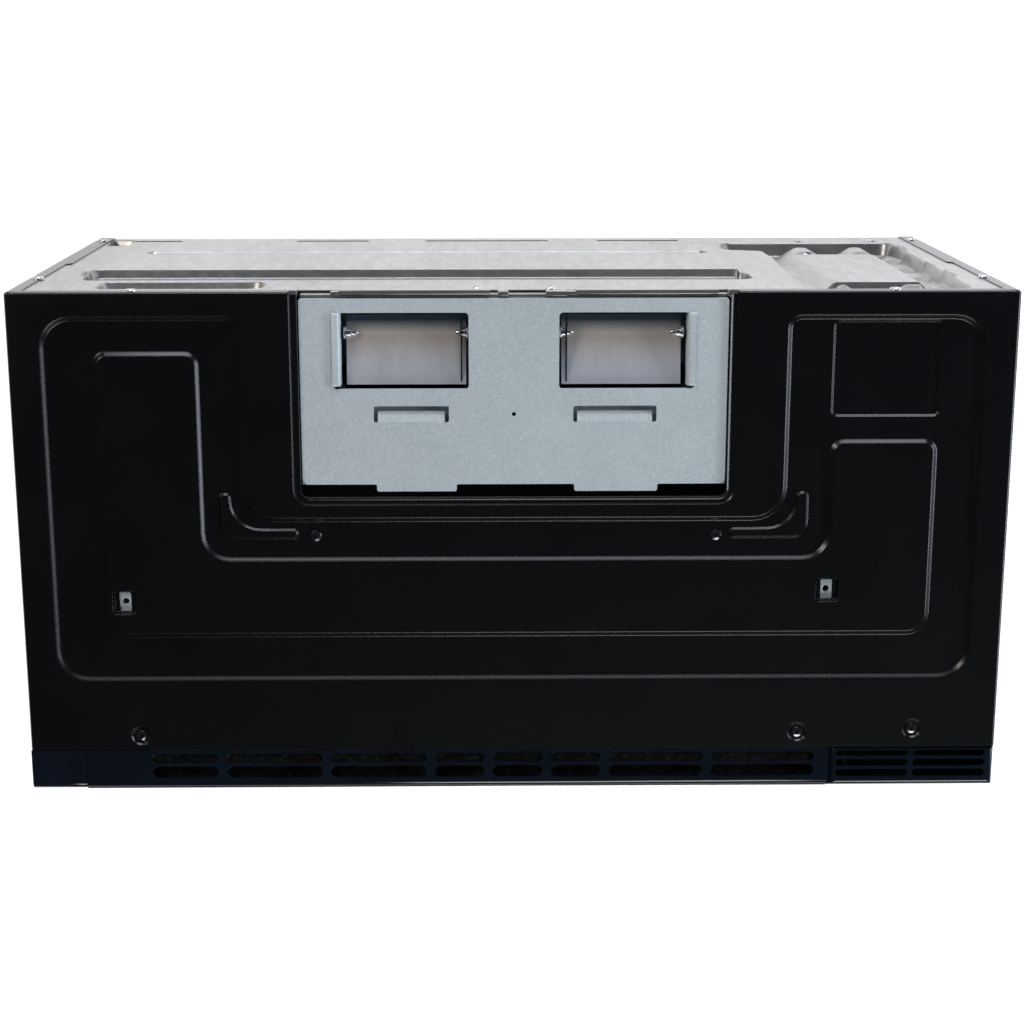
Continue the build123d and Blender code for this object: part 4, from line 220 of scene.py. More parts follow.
def make_finishes():
    """Every finish: the record's slots first, then those of the added pieces."""
    return {
        # prepainted steel sheet, black and semi-gloss: a faint roller texture and a soft sheen
        "black_painted_steel": finish("prepainted_black_steel", "#050608", "#090A0C", (0.268, 0.278), 70, 2.4, 0.003,
                                      IOR=1.5),
        # chromated hot-dip galvanised steel: pale blue-grey, dull, with crystals under a fine speckle
        "galvanised_steel": finish("galvanised_sheet", "#C8D4DA", "#D1DDE2", (0.5, 0.66), 45, 0.7, 0.012,
                                   layers=[(spangle, "#ECF4F7")], Metallic=0.3),
        "frame_steel": moulded("powder_coated_steel", "#1B1C1E", "#242527", 0.5, 0.9, 0.02),
        # oven enamel: grey gloss with fine fired flecks
        "cavity_enamel": finish("oven_enamel", "#878B8D", "#919597", (0.2, 0.3), 40, 4, 0.02,
                                layers=[(flecks, "#C9CBCB")], IOR=1.55),
        "zinc_screws": mill_metal("zinc_plated_screw", "#A9ABAD", "#D3D5D6", 0.26),
        # stainless facing brushed along X: long fine scratches stretch its highlights
        "stainless": finish("brushed_stainless", "#ABAAA7", "#BDBCB9", (0.24, 0.38), 25, 0.5, 0.004,
                            (0.02, 1.0, 1.0), Metallic=1.0, Anisotropic=0.5),
        # gloss black ABS; its blue tint is a painted reflection of bluish light
        "black_moulding": moulded("gloss_black_abs_painted_blue_reflection", "#0B1119", "#101824", 0.13, 1.5, 0.003),
        "satin_moulding": moulded("satin_black_abs", "#101112", "#181919", 0.45),
        "white_moulding": moulded("white_acetal", "#D9D8D2", "#E4E3DE", 0.35),
        # door glass with a black printed back: nearly opaque, very glossy
        "dark_glass": finish("printed_door_glass", "#08090A", "#0C0D0E", (0.03, 0.07), 60, 50, 0.002, IOR=1.52),
        "clear_glass": clear_glass("tempered_glass", "#EAF3F1"),
        "screen_steel": moulded("painted_door_screen", "#0C0C0D", "#131314", 0.5),
        "mica": mill_metal("mica_sheet", "#9E937C", "#BBB19A", 0.4, 12, 0.2),
        "filter_aluminium": mill_metal("expanded_aluminium", "#B9BBBD", "#D2D4D5", 0.35),
        # activated charcoal granules: matt black with worn grey faces
        "charcoal": finish("charcoal_granules", "#060607", "#0E0E0F", (0.75, 0.95), 6, 0.6, 0.1,
                           layers=[(worn_faces, "#2B2B2D")], Specular_IOR_Level=0.15),
        # enamelled copper windings: close parallel turns of wire
        "copper_windings": finish("enamelled_copper_wire", "#7E3D1D", "#A5572C", (0.3, 0.42), 10, 1, 0.3,
                                  height=bands(5, bands_direction="Z"), Metallic=1.0),
        "motor_steel": mill_metal("motor_steel", "#70757A", "#8B9095", 0.4),
        "can_aluminium": mill_metal("drawn_aluminium_can", "#B7B9BB", "#C8CACC", 0.3),
        # circuit board: green solder resist over woven glass
        "circuit_board": finish("circuit_board_lacquer", "#1B5533", "#23633D", (0.25, 0.4), 30, 2, 0.02,
                                height=bands(6), IOR=1.5),
        "lamp_glass": clear_glass("frosted_lamp_glass", "#F3EEE2", (0.2, 0.35)),
        "nickel": mill_metal("nickel_plated_screw", "#66676A", "#86878A", 0.2),
        # skin-passed galvanised steel: smoother and brighter, mirrors the room softly, with drawing streaks
        "smooth_zinc": finish("skin_passed_galvanised_sheet", "#999896", "#A8A7A5", (0.28, 0.38), 60, 5, 0.002,
                              (1.0, 1.0, 0.15), Metallic=0.8),
        # flap sheet with a painted highlight by its crease and painted shade behind the pin
        "damper": damper_sheet_painted_light(),
        "legend": printed_ink("printed_legend", "#C9CCCF"),
        "segments": printed_ink("lit_segments", "#5FE0C0", 1.5),
    }


FINISH = {}


# --- shapes in the flat
def rounded_loop(points, radii, inset=0.0, steps=6):
    """Closed outline with rounded corners, drawn in by an inset."""
    corners = [complex(*point) for point in points]
    following = corners[1:] + corners[:1]
    sense = math.copysign(1, sum((a.conjugate() * b).imag for a, b in zip(corners, following)))
    loop = []
    for before, corner, after, radius in zip(corners[-1:] + corners, corners, following, radii):
        back, ahead = ((end - corner) / abs(end - corner) for end in (before, after))
        side = -math.copysign(1, (back.conjugate() * ahead).imag)
        half = abs(cmath.phase(ahead / back)) / 2
        middle = (back + ahead) / abs(back + ahead) / math.sin(half)
        if radius == 0:
            loop.append(corner + middle * side * sense * inset)
            continue
        arm = back * radius / math.tan(half) - middle * radius
        arm *= max(radius - side * sense * inset, 0.02) / abs(arm)
        turn = side * (math.pi - 2 * half)
        loop += [corner + middle * radius + arm * cmath.rect(1, turn * step / steps) for step in range(steps + 1)]
    return np.array([(point.real, point.imag) for point in loop])


def rectangle(x0, x1, y0, y1, radius):
    """Points and corner radii of a rounded rectangle."""
    return [(x0, y0), (x1, y0), (x1, y1), (x0, y1)], [radius] * 4


def around(x, y, half_x, half_y, radius):
    """Points and corner radii of a rounded rectangle about its middle."""
    return rectangle(x - half_x, x + half_x, y - half_y, y + half_y, radius)


def circle(x, y, radius, sides=20):
    """Points and radii of a many-sided circle."""
    turns = [2 * math.pi * step / sides for step in range(sides)]
    return [(x + radius * math.cos(a), y + radius * math.sin(a)) for a in turns], [0.0] * sides


def inside(points, loop):
    """True for each point that lies within a closed outline."""
    x, y = points[:, 0][:, None], points[:, 1][:, None]
    ax, ay = loop[:, 0][None], loop[:, 1][None]
    bx, by = np.roll(loop[:, 0], -1)[None], np.roll(loop[:, 1], -1)[None]
    rise = np.where(by == ay, 1e-12, by - ay)
    crossing = ((ay > y) != (by > y)) & (x < (bx - ax) * (y - ay) / rise + ax)
    return crossing.sum(axis=1) % 2 == 1


def depth_inside(points, loop):
    """Distance of each point from an outline, positive within it."""
    a = loop[None]
    edge = np.roll(loop, -1, axis=0)[None] - a
    away = points[:, None] - a
    along = np.clip((away * edge).sum(axis=2) / np.maximum((edge * edge).sum(axis=2), 1e-12), 0, 1)
    gap = np.linalg.norm(away - along[..., None] * edge, axis=2).min(axis=1)
    return np.where(inside(points, loop), gap, -gap)


SLOPE_STEPS = (-0.15, 0.0, 0.1, 0.2, 0.5, 0.8, 0.9, 1.0, 1.15)
SLOPE_ROUND = 0.2  # share of a slope that is rounded at either end


class Pressing:
    """A field of a sheet that is pushed out of its plane behind a smooth slope."""

    def __init__(self, points, radii, rise, slope):
        self.points, self.radii, self.rise, self.slope = points, radii, rise, slope

    def loops(self):
        return [rounded_loop(self.points, self.radii, self.slope * share) for share in SLOPE_STEPS]

    def height(self, places):
        share = np.clip(depth_inside(places, self.loops()[1]) / self.slope, 0, 1)
        end = SLOPE_ROUND
        rounded = 2 * end * (1 - end)
        ramp = np.where(share < end, share ** 2 / rounded, (share - end / 2) / (1 - end))
        return self.rise * np.where(share > 1 - end, 1 - (1 - share) ** 2 / rounded, ramp)


class Merged:
    """Pressings that grow into one another: the furthest out shows."""

    def __init__(self, fields):
        self.fields = fields

    def loops(self):
        return [loop for field in self.fields for loop in field.loops()]

    def height(self, places):
        return np.max([field.height(places) for field in self.fields], axis=0)


def flat_sheet(outline, holes, loops, lines):
    """Triangles of a flat blank that follow every loop and line given."""
    places, edges, closed = [], [], [outline, *holes, *loops]
    for index, path in enumerate([*closed, *lines]):
        first = len(places)
        places += [tuple(point) for point in path]
        edges += [(i, i + 1) for i in range(first, len(places) - 1)]
        if index < len(closed):
            edges.append((len(places) - 1, first))
    found = delaunay_2d_cdt([Vector(point) for point in places], edges, [], 0, 1e-4)
    flat = np.array([tuple(point) for point in found[0]])
    corners = np.array([tuple(face) for face in found[2]])
    middle = flat[corners].mean(axis=1)
    keep = inside(middle, np.asarray(outline))
    for hole in holes:
        keep &= ~inside(middle, np.asarray(hole))
    return flat, corners[keep]


# --- meshes and pieces
def at(x, depth, z):
    """Point in metres from x, depth and height in millimetres."""
    return (x * MM, (BACK_Y - depth) * MM, z * MM)


@contextmanager
def opened(mesh):
    """Edit a mesh as a BMesh."""
    shape = bmesh.new()
    shape.from_mesh(mesh)
    yield shape
    shape.to_mesh(mesh)
    shape.free()


def mesh_of(name, places, faces):
    """Mesh from points in metres, without stray points."""
    mesh = bpy.data.meshes.new(name)
    mesh.from_pydata([tuple(place) for place in places], [], [tuple(int(i) for i in face) for face in faces])
    with opened(mesh) as shape:
        bmesh.ops.delete(shape, geom=[v for v in shape.verts if not v.link_faces], context="VERTS")
        bmesh.ops.remove_doubles(shape, verts=shape.verts, dist=1e-7)
    return mesh


def shade(mesh, sharp_degrees=35.0, level_flat=True):
    """Smooth shading with edges kept crisp past an angle; level faces may stay flat beside narrow edges."""
    limit = math.radians(sharp_degrees)
    with opened(mesh) as shape:
        for face in shape.faces:
            face.smooth = not level_flat or max(abs(part) for part in face.normal) < 0.99995
        for edge in shape.edges:
            edge.smooth = len(edge.link_faces) == 2 and edge.calc_face_angle(0.0) < limit


def placed(name, data):
    """Object of the scene for a mesh, light, camera or text."""
    made = bpy.data.objects.new(name, data)
    bpy.context.scene.collection.objects.link(made)
    return made


def shown(name, mesh, finish_name):
    """Object at the origin that shows a mesh in one finish."""
    mesh.materials.clear()
    mesh.materials.append(FINISH[finish_name])
    return placed(name, mesh)


def settle(piece, sharp_degrees, level_flat=True):
    """Take a piece's modifiers into its mesh."""
    seen = piece.evaluated_get(bpy.context.evaluated_depsgraph_get())
    mesh = bpy.data.meshes.new_from_object(seen)
    piece.modifiers.clear()
    piece.data = mesh
    shade(mesh, sharp_degrees, level_flat)


def fit(piece, body, slot, *nodes):
    """Hand a finished piece to its body, in place of nodes where given; its slot is not used."""
    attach(piece, body)
    if nodes:
        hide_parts(*nodes)


def joined(name, meshes, finish_name):
    """One object from several meshes."""
    whole = bpy.data.meshes.new(name)
    with opened(whole) as shape:
        for mesh in meshes:
            shape.from_mesh(mesh)
    return shown(name, whole, finish_name)


def grouped(name, meshes, finish_name, slot, *nodes):
    """Finished piece of the case from several meshes."""
    piece = joined(name, meshes, finish_name)
    shade(piece.data)
    fit(piece, "root", slot, *nodes)


def slab(x0, x1, d0, d1, z0, z1, soft=0.35):
    """Block with rounded edges, from two X, two depths and two heights."""
    size = [abs(x1 - x0), abs(d1 - d0), abs(z1 - z0)]
    middle = Vector(at((x0 + x1) / 2, (d0 + d1) / 2, (z0 + z1) / 2))
    mesh = bpy.data.meshes.new("slab")
    with opened(mesh) as shape:
        bmesh.ops.create_cube(shape, size=1.0)
        for vert in shape.verts:
            vert.co = Vector([part * length * MM for part, length in zip(vert.co, size)]) + middle
        bmesh.ops.bevel(shape, geom=shape.edges[:], offset=min(soft, 0.45 * min(size)) * MM, segments=2,
                        affect="EDGES", profile=0.5)
    return mesh


def turned(profile, place, direction, sides=24):
    """Lathe-turned solid: (along, radius) pairs in millimetres about a direction from a place."""
    turn = Vector(direction).to_track_quat("Z", "Y")
    start = Vector(at(*place))
    places, faces = [], []
    for along, radius in profile:
        for step in range(sides):
            angle = 2 * math.pi * step / sides
            arm = Vector((radius * math.cos(angle), radius * math.sin(angle), along)) * MM
            places.append(start + turn @ arm)
    for ring in range(len(profile) - 1):
        for step in range(sides):
            a, b = ring * sides + step, ring * sides + (step + 1) % sides
            faces.append((a, b, b + sides, a + sides))
    faces.append(tuple(reversed(range(sides))))
    faces.append(tuple(range((len(profile) - 1) * sides, len(profile) * sides)))
    return mesh_of("turned", places, faces)


def thicken(piece, thickness):
    """Give a sheet its thickness, behind its shown face."""
    wall = piece.modifiers.new("wall", "SOLIDIFY")
    wall.thickness = thickness * MM
    wall.offset = -1.0
    wall.use_even_offset = True


def bevel(piece, width, least_angle=30):
    """Round a piece's edges past an angle."""
    edge = piece.modifiers.new("edge", "BEVEL")
    edge.width = width * MM
    edge.segments = 2
    edge.limit_method = "ANGLE"
    edge.angle_limit = math.radians(least_angle)


def softened(name, node, width, finish_name=None):
    """Copy of a construction node with its edges rounded, as a mould or brake leaves them."""
    mesh = bpy.data.meshes.new(name)
    with opened(mesh) as shape:
        shape.from_mesh(NODES[node].data)
        bmesh.ops.remove_doubles(shape, verts=shape.verts, dist=1e-6)
        bmesh.ops.dissolve_limit(shape, angle_limit=math.radians(0.5), verts=shape.verts, edges=shape.edges)
    piece = shown(name, mesh, finish_name or SUBPARTS[node])
    bevel(piece, width, 35)
    settle(piece, 40)
    fit(piece, BODY_OF[node], SUBPARTS[node], node)


# --- outer wrapper
BEND = 3.0
REAR_BEND = 2.0
FLAT_HALF = HALF - BEND
ARC = BEND * math.pi / 2
SIDE_LENGTH = TOP - BEND
FLAT_END = FLAT_HALF + ARC + SIDE_LENGTH
REAR_SET = 2.2  # wrapper's rear flanges, in from the wall
REAR_LINE = REAR_SET + REAR_BEND
REAR_ARC = REAR_BEND * math.pi / 2
BAY = (162.4, 158.8, 6.0)  # half width, depth and corner of the blower's bay
GROOVE = (6.0, 1.4)  # width and depth of the bead round the bay
GROOVE_STEPS = (0.0, 0.1, 0.25, 0.4, 0.6, 0.75, 0.9, 1.0, 1.15)
PRESS_SLOPE = 4.5
BOLT_WELLS = ((-300.3, 241.1), (242.1, 232.9))
DIMPLES = ((-292.6, 349.4), (222.9, 348.5), (313.4, 346.0))


def bay_field(rear, reach=0.0):
    """Points and radii of the blower's bay, open to the rear and widened by a reach."""
    width, deep, corner = (size + reach for size in BAY)
    return [(-width, rear), (width, rear), (width, deep), (-width, deep)], [0, 0, corner, corner]


def wrapper_outline():
    """Flat blank of the wrapper: across the top and both sides, and rearwards into the flanges."""
    flange = REAR_LINE - REAR_ARC
    top_flange, upper, lower = flange - 12.0, flange - 8.5, flange - 12.5
    step = FLAT_END - 217.0
    side_bend, rear = FLAT_HALF + ARC, REAR_LINE - 0.6
    width = BAY[0]
    right = [(width, REAR_LINE), (width + GROOVE[0], REAR_LINE), (width + GROOVE[0], top_flange),
             (FLAT_HALF - 9.5, top_flange), (FLAT_HALF + 0.4, rear), (side_bend - 0.4, rear), (side_bend + 7.5, upper),
             (step - 4.0, upper), (step, lower), (FLAT_END - 1.3, lower), (FLAT_END - 1.3, REAR_LINE),
             (FLAT_END, REAR_LINE), (FLAT_END, WRAP_DEPTH)]
    left = [(-u, v) for u, v in reversed(right)]
    bay = rounded_loop(*bay_field(REAR_LINE - 30))
    bay = [tuple(point) for point in bay if point[1] > REAR_LINE]
    bay.sort(key=lambda point: (point[0] > 0, point[1] if point[0] < 0 else -point[1]))
    return [*right, *left, *bay]


def wrapper_place(u, v, lift):
    """Where a point of the blank ends up, lifted off the sheet's outer face."""
    run = abs(u) - FLAT_HALF
    turn = min(max(run / BEND, 0.0), math.pi / 2)
    normal = Vector((math.sin(turn), 0, math.cos(turn)))
    place = Vector((FLAT_HALF + min(run, 0.0), 0, TOP - BEND - max(run - ARC, 0.0))) + normal * BEND
    behind = max(REAR_LINE - v, 0.0)
    turn = min(behind / REAR_BEND, math.pi / 2)
    place += normal * ((lift + REAR_BEND) * math.cos(turn) - REAR_BEND - max(behind - REAR_ARC, 0.0))
    depth = max(v, REAR_LINE) - (lift + REAR_BEND) * math.sin(turn)
    return at(math.copysign(place.x, u), depth, place.z)


def wrapper_pressings(depth):
    """Every pressed field of the top, from the case's construction."""
    right, left, front = 240.0, -236.0, 270.0
    fields = [
        Pressing([(-356, 305), (356, 305), (356, 19.5), (205, 19.5), (205, 174), (-205, 174), (-205, 19.5),
                  (-356, 19.5)], [25, 25, 25, 11, 22, 22, 11, 25], -depth, PRESS_SLOPE),
        Pressing([(-317, front), (323, front), (323, 114), (right, 114), (right, 205), (left, 205), (left, 46),
                  (-317, 46)], [18, 18, 11, 11, 18, 18, 11, 11], depth, PRESS_SLOPE),
        Pressing(*rectangle(right, 323, 24, 98, 5.0), -1.8, 2.2),
    ]
    for side in (-1, 1):
        fields.append(Pressing([(side * 226, 192), (side * 165, 192), (side * 165, 183),
                                (side * 216, 183), (side * 216, 155), (side * 226, 155)],
                               [12, 4.2, 4.2, 22, 4.6, 4.6], 1.8, 2.0))
    fields += [Pressing(*around(*well, 9.5, 9.5, 3.5), -4.0, 1.6) for well in BOLT_WELLS]
    fields += [Pressing(*circle(*dimple, 8.0), -2.0, 2.2) for dimple in DIMPLES]
    return fields


def make_wrapper(sizes):
    """Wrapper as one drawn and folded sheet."""
    fields = wrapper_pressings(sizes.emboss / MM)
    ringed = []
    for share in GROOVE_STEPS:
        line = rounded_loop(*bay_field(-40, GROOVE[0] * share))
        ringed.append([*line[1:], line[0]])
    holes = [rounded_loop(*around(*well, 4.5, 7.5, 1.2)) for well in BOLT_WELLS]
    lines = [[(side * (FLAT_HALF + ARC * step / 6), -20), (side * (FLAT_HALF + ARC * step / 6), WRAP_DEPTH + 5)]
             for side in (-1, 1) for step in range(7)]
    lines += [[(-FLAT_END - 5, REAR_LINE - REAR_ARC * step / 4), (FLAT_END + 5, REAR_LINE - REAR_ARC * step / 4)]
              for step in range(5)]
    loops = [loop for field in fields for loop in field.loops()]
    flat, faces = flat_sheet(wrapper_outline(), holes, loops, lines + ringed)
    lift = sum(field.height(flat) for field in fields)
    bay_gap = -depth_inside(flat, rounded_loop(*bay_field(-40)))
    groove = np.where((bay_gap > 0) & (bay_gap < GROOVE[0]),
                      np.sin(math.pi * np.clip(bay_gap, 0, GROOVE[0]) / GROOVE[0]), 0)
    lift = lift - GROOVE[1] * groove
    places = [wrapper_place(u, v, rise) for (u, v), rise in zip(flat, lift)]
    drawn_sheet("outer_wrap_sheet", places, faces, "black_painted_steel", "black_painted_steel", "outer_wrap")


def drawn_sheet(name, places, faces, finish_name, slot, node):
    """Thickened piece of the case in place of a node, from its shown face."""
    piece = shown(name, outward(mesh_of(name, places, faces)), finish_name)
    thicken(piece, SHEET)
    settle(piece, 32.0, False)
    fit(piece, "root", slot, node)


def outward(mesh, middle=MIDDLE):
    """Turn every face of an open sheet away from a point inside the case."""
    with opened(mesh) as shape:
        bmesh.ops.recalc_face_normals(shape, faces=shape.faces)
        largest = max(shape.faces, key=lambda face: face.calc_area())
        if largest.normal.dot(largest.calc_center_median() - Vector(middle)) < 0:
            bmesh.ops.reverse_faces(shape, faces=shape.faces)
    return mesh


# --- back panel
BACK_SET = 3.2  # sheet's outer face, in from the wall
HOOK_SLOTS = ((-356, -299), (-194, -128), (-76, 37), (82, 157))


def make_back():
    """Back panel as one drawn sheet, seen from the wall."""
    fields = [
        Pressing(*rectangle(-346, 184, 104, 300, 12), 3.2, 3.0),
        Pressing(*rectangle(-313, 171, 146, 166, 9), -2.8, 2.0),
        Pressing(*rectangle(-338, 190, 284, 333, 13), -7.0, 2.6),
        Pressing(*rectangle(-319, -190, 342, 388, 12), -6.0, 2.6),
        Pressing([(-368, 10), (-343, 16), (-343, 62), (-362, 70)], [3, 5, 5, 3], -5.5, 2.5),
        Pressing([(190, 50), (350, 50), (350, 396), (219, 396), (224, 179), (222, 119), (190, 108)],
                 [14, 14, 16, 16, 30, 9, 10], -12.0, 4.0),
    ]
    rises = [Pressing([(236, 108), (332, 108), (332, 352), (244, 352)], [20, 20, 16, 16], 9.0, 13.0)]
    rises += [Pressing(*around(x, 88, wide / 2, 37, wide * 0.46), 10.0, wide * 0.44)
              for x, wide in ((263, 48), (312, 46))]
    rises += [Pressing(*around(*place, 12, 20, 4), 6.0, 10.0)
              for place in ((342, 96), (338, 160), (341, 224), (343, 296))]
    fields.append(Merged(rises))
    fields.append(Pressing(*rectangle(240, 335, 322, 392, 12), -8.0, 3.0))
    fields.append(Merged([Pressing(*around(x, 360, 20, 34, 16), 8.0, 15.0) for x in (253, 313)]))
    (half, top), (notch, notch_z) = (378.2, 415.7), (169.7, 397)
    outline = [(-half, 1.3), (half, 1.3), (half, top), (notch, top), (notch, notch_z), (-notch, notch_z),
               (-notch, top), (-half, top)]
    holes = [rounded_loop(*rectangle(*ends, 21, 29, 1.5)) for ends in HOOK_SLOTS]
    loops = [loop for field in fields for loop in field.loops()]
    flat, faces = flat_sheet(outline, holes, loops, [])
    rise = sum(field.height(flat) for field in fields)
    places = [at(x, BACK_SET - out, z) for (x, z), out in zip(flat, rise)]
    drawn_sheet("back_panel_sheet", places, faces, "smooth_zinc", "galvanised_steel", "back_panel")


# --- blower plate
OUTLETS = ((-136.0, -34.0), (34.0, 136.0))
OUTLET_DEPTHS = (18.1, 75.8)
LANCES = ((-106.0, -49.2), (44.9, 107.9))
LIP_ENDS = ((18.1, 0.9), (18.9, 0.3), (20.6, 0.0), (70.9, 0.0), (72.6, 0.3), (73.4, 0.9))  # depths and drops


def grid(name, rows):
    """Sheet through rows of places."""
    n = len(rows[0])
    faces = [(k * n + i, k * n + i + 1, (k + 1) * n + i + 1, (k + 1) * n + i)
             for k in range(len(rows) - 1) for i in range(n - 1)]
    return mesh_of(name, [place for row in rows for place in row], faces)


def bent(points, radius, steps=4):
    """Open path of (a, b) with its inner corners rounded."""
    points = [np.asarray(point, float) for point in points]
    path = [points[0]]
    for before, corner, after in zip(points, points[1:], points[2:]):
        arms = [before - corner, after - corner]
        lengths = [np.linalg.norm(arm) for arm in arms]
        back, ahead = (arm / length for arm, length in zip(arms, lengths))
        reach = min(radius, *(0.45 * length for length in lengths))
        for step in range(steps + 1):
            t = step / steps
            path.append(corner + back * reach * (1 - t) ** 2 + ahead * reach * t ** 2)
    return [tuple(point) for point in [*path, points[-1]]]


def make_plate():
    """Blower plate: punched and folded sheet with skirt, side walls, guide lips and lanced tabs."""
    rear, front, tongue, half = 7.5, 148.9, 154.4, 161.0
    outline = [(-half, rear), (half, rear), (half, front), (109.4, front), (109.4, tongue), (46.0, tongue),
               (46.0, front), (-43.7, front), (-43.7, tongue), (-104.4, tongue), (-104.4, front), (-half, front)]
    outline = rounded_loop(outline, [2, 2, 5, *[1.5] * 8, 5])
    holes = [rounded_loop(*rectangle(*ends, *OUTLET_DEPTHS, 3.0)) for ends in OUTLETS]
    holes += [rounded_loop(*rectangle(*ends, 88.6, 101.0, 1.5)) for ends in LANCES]
    holes.append(rounded_loop(*circle(0, 94.9, 1.6, 16)))
    flat, faces = flat_sheet(outline, holes, [], [])
    plate = shown("plate", outward(mesh_of("plate", [at(x, d, PLATE_LEVEL) for x, d in flat], faces)),
                  "galvanised_steel")
    thicken(plate, SHEET)
    bevel(plate, 0.3)
    settle(plate, 40)
    pieces = [plate.data]
    high, low, foot = PLATE_LEVEL - 0.6, PLATE_LEVEL - 12.0, 311.8
    for side in (-1, 1):
        pieces.append(slab(side * half, side * (half - 1), 13.0, front, foot, high))
        pieces.append(slab(side * half, side * (half - 9), 13.0, front, foot, foot + 1))
    pieces.append(slab(-half + 1, half - 1, rear, rear + 1, low, high))
    pieces.append(slab(-half + 1, half - 1, front - 1, front, low, high))
    for x0, x1 in LANCES:
        tab = bent([(101.5, PLATE_LEVEL), (100.6, PLATE_LEVEL - 0.1), (92.8, PLATE_LEVEL - 3.0)], 1.0)
        rows = [[at(x, d, z) for d, z in tab] for x in (x0 + 3.0, x0 + 4.0, x1 - 4.2, x1 - 3.2)]
        pieces.append(walled(grid("lance", rows), SHEET))
    for side, (x0, x1) in zip((-1, 1), OUTLETS):
        edge = (x0, x1)[side > 0]
        lip = bent([(edge - side * 6.0, PLATE_LEVEL - 11), (edge - side * 5.5, PLATE_LEVEL - 0.4),
                    (edge - side * 4.4, PLATE_LEVEL + 1.7), (edge + side * 0.6, PLATE_LEVEL + 1.9)], 1.6)
        rows = [[at(x, d, z - drop * (index > 3)) for index, (x, z) in enumerate(lip)] for d, drop in LIP_ENDS]
        pieces.append(walled(grid("guide", rows), SHEET, (side * 400 * MM, 0.17, 0.38)))
    grouped("blower_plate_folded", pieces, "galvanised_steel", "galvanised_steel", "blower_plate")
    bpy.data.objects.remove(plate)


def walled(mesh, thickness, behind=MIDDLE):
    """Mesh of a sheet with its thickness, on the side towards a point."""
    piece = shown("walled", outward(mesh, behind), "galvanised_steel")
    thicken(piece, thickness)
    settle(piece, 40)
    made = piece.data
    bpy.data.objects.remove(piece)
    return made


def make_flaps():
    """Back-draft flaps in the outlets, each bent along its pivot, with pins and stops."""
    crease_z = 403.0
    profile = bent([(21.5, crease_z - 5.0), (CREASE_DEPTH, crease_z), (54.0, crease_z + 3.0),
                    (72.8, crease_z + 6.4)], 7.0, 6)
    boss = [(0, 0.2), (0, 4.6), (0.8, 5.0), (1.6, 5.0), (2.0, 3.4), (5.4, 3.2), (5.8, 2.2), (9.0, 1.8), (10.4, 0.7)]
    bosses = []
    for side, name in ((-1, "damper_left"), (1, "damper_right")):
        rows = [[at(x, d, z) for d, z in profile] for x in np.linspace(side * 36.0, side * 126.0, 19)]
        fit(shown(name, walled(grid("flap", rows), 0.8), "damper"), "root", "stainless")
        for x, aim in ((side * 34.2, side), (side * 127.8, -side)):
            bosses.append(turned(boss, (x, CREASE_DEPTH, crease_z + 2.6), (aim, 0, 0), 20))
    piece = joined("damper_pins", bosses, "zinc_screws")
    shade(piece.data, 40)
    fit(piece, "root", "zinc_screws")
    wedge = [(21.5, crease_z + 8.5), (27, crease_z + 9.5), (72.0, crease_z + 6.0), (72.0, crease_z + 4.6),
             (27, crease_z - 1.0)]
    n = len(wedge)
    faces = [tuple(range(n)), tuple(reversed(range(n, 2 * n)))]
    faces += [(i, i + n, (i + 1) % n + n, (i + 1) % n) for i in range(n)]
    stops = [mesh_of("stop", [at(x + shift, d, z) for shift in (-0.5, 0.5) for d, z in wedge], faces)
             for x in (-39.5, 39.5)]
    piece = joined("damper_stops", stops, "black_painted_steel")
    with opened(piece.data) as shape:
        bmesh.ops.recalc_face_normals(shape, faces=shape.faces)
    fit(piece, "root", "black_painted_steel")


# --- repeated pieces in Geometry Nodes
# sides, lower and upper radius, height and foot of each cone of a pan head
PAN_CONES = ((24, 1.0, 0.96, 0.42, 0), (24, 0.96, 0.86, 0.32, 0.42), (24, 0.86, 0.5, 0.26, 0.74),
             (12, 0.2, 0.38, 4.0, -3.9))
GRAIN_PITCH = 2.3


def nodes_piece(name, points, attributes, build, values, finish_name):
    """Piece whose repeats are placed by a Geometry Nodes tree on stored points.

    attributes holds one list of vectors per name; values are the tree's inputs.
    """
    mesh = bpy.data.meshes.new(name)
    mesh.from_pydata([tuple(point) for point in points], [], [])
    for key, rows in attributes.items():
        stored = mesh.attributes.new(key, "FLOAT_VECTOR", "POINT")
        stored.data.foreach_set("vector", np.ravel(rows).astype(float))
    piece = shown(name, mesh, finish_name)
    group = bpy.data.node_groups.new(name, "GeometryNodeTree")
    for way in ("OUTPUT", "INPUT"):
        group.interface.new_socket("Geometry", in_out=way, socket_type="NodeSocketGeometry")
    sockets = [group.interface.new_socket(key, in_out="INPUT", socket_type="NodeSocketFloat") for key in values]
    entry = add(group, "NodeGroupInput")
    real = add(group, "GeometryNodeRealizeInstances", {"Geometry": build(group, entry.outputs)})
    coated = add(group, "GeometryNodeSetMaterial", {"Geometry": real, "Material": FINISH[finish_name]})
    add(group, "NodeGroupOutput", {"Geometry": coated})
    nodes = piece.modifiers.new("repeats", "NODES")
    nodes.node_group = group
    for socket, value in zip(sockets, values.values()):
        nodes[socket.identifier] = value
    settle(piece, 35)
    return piece


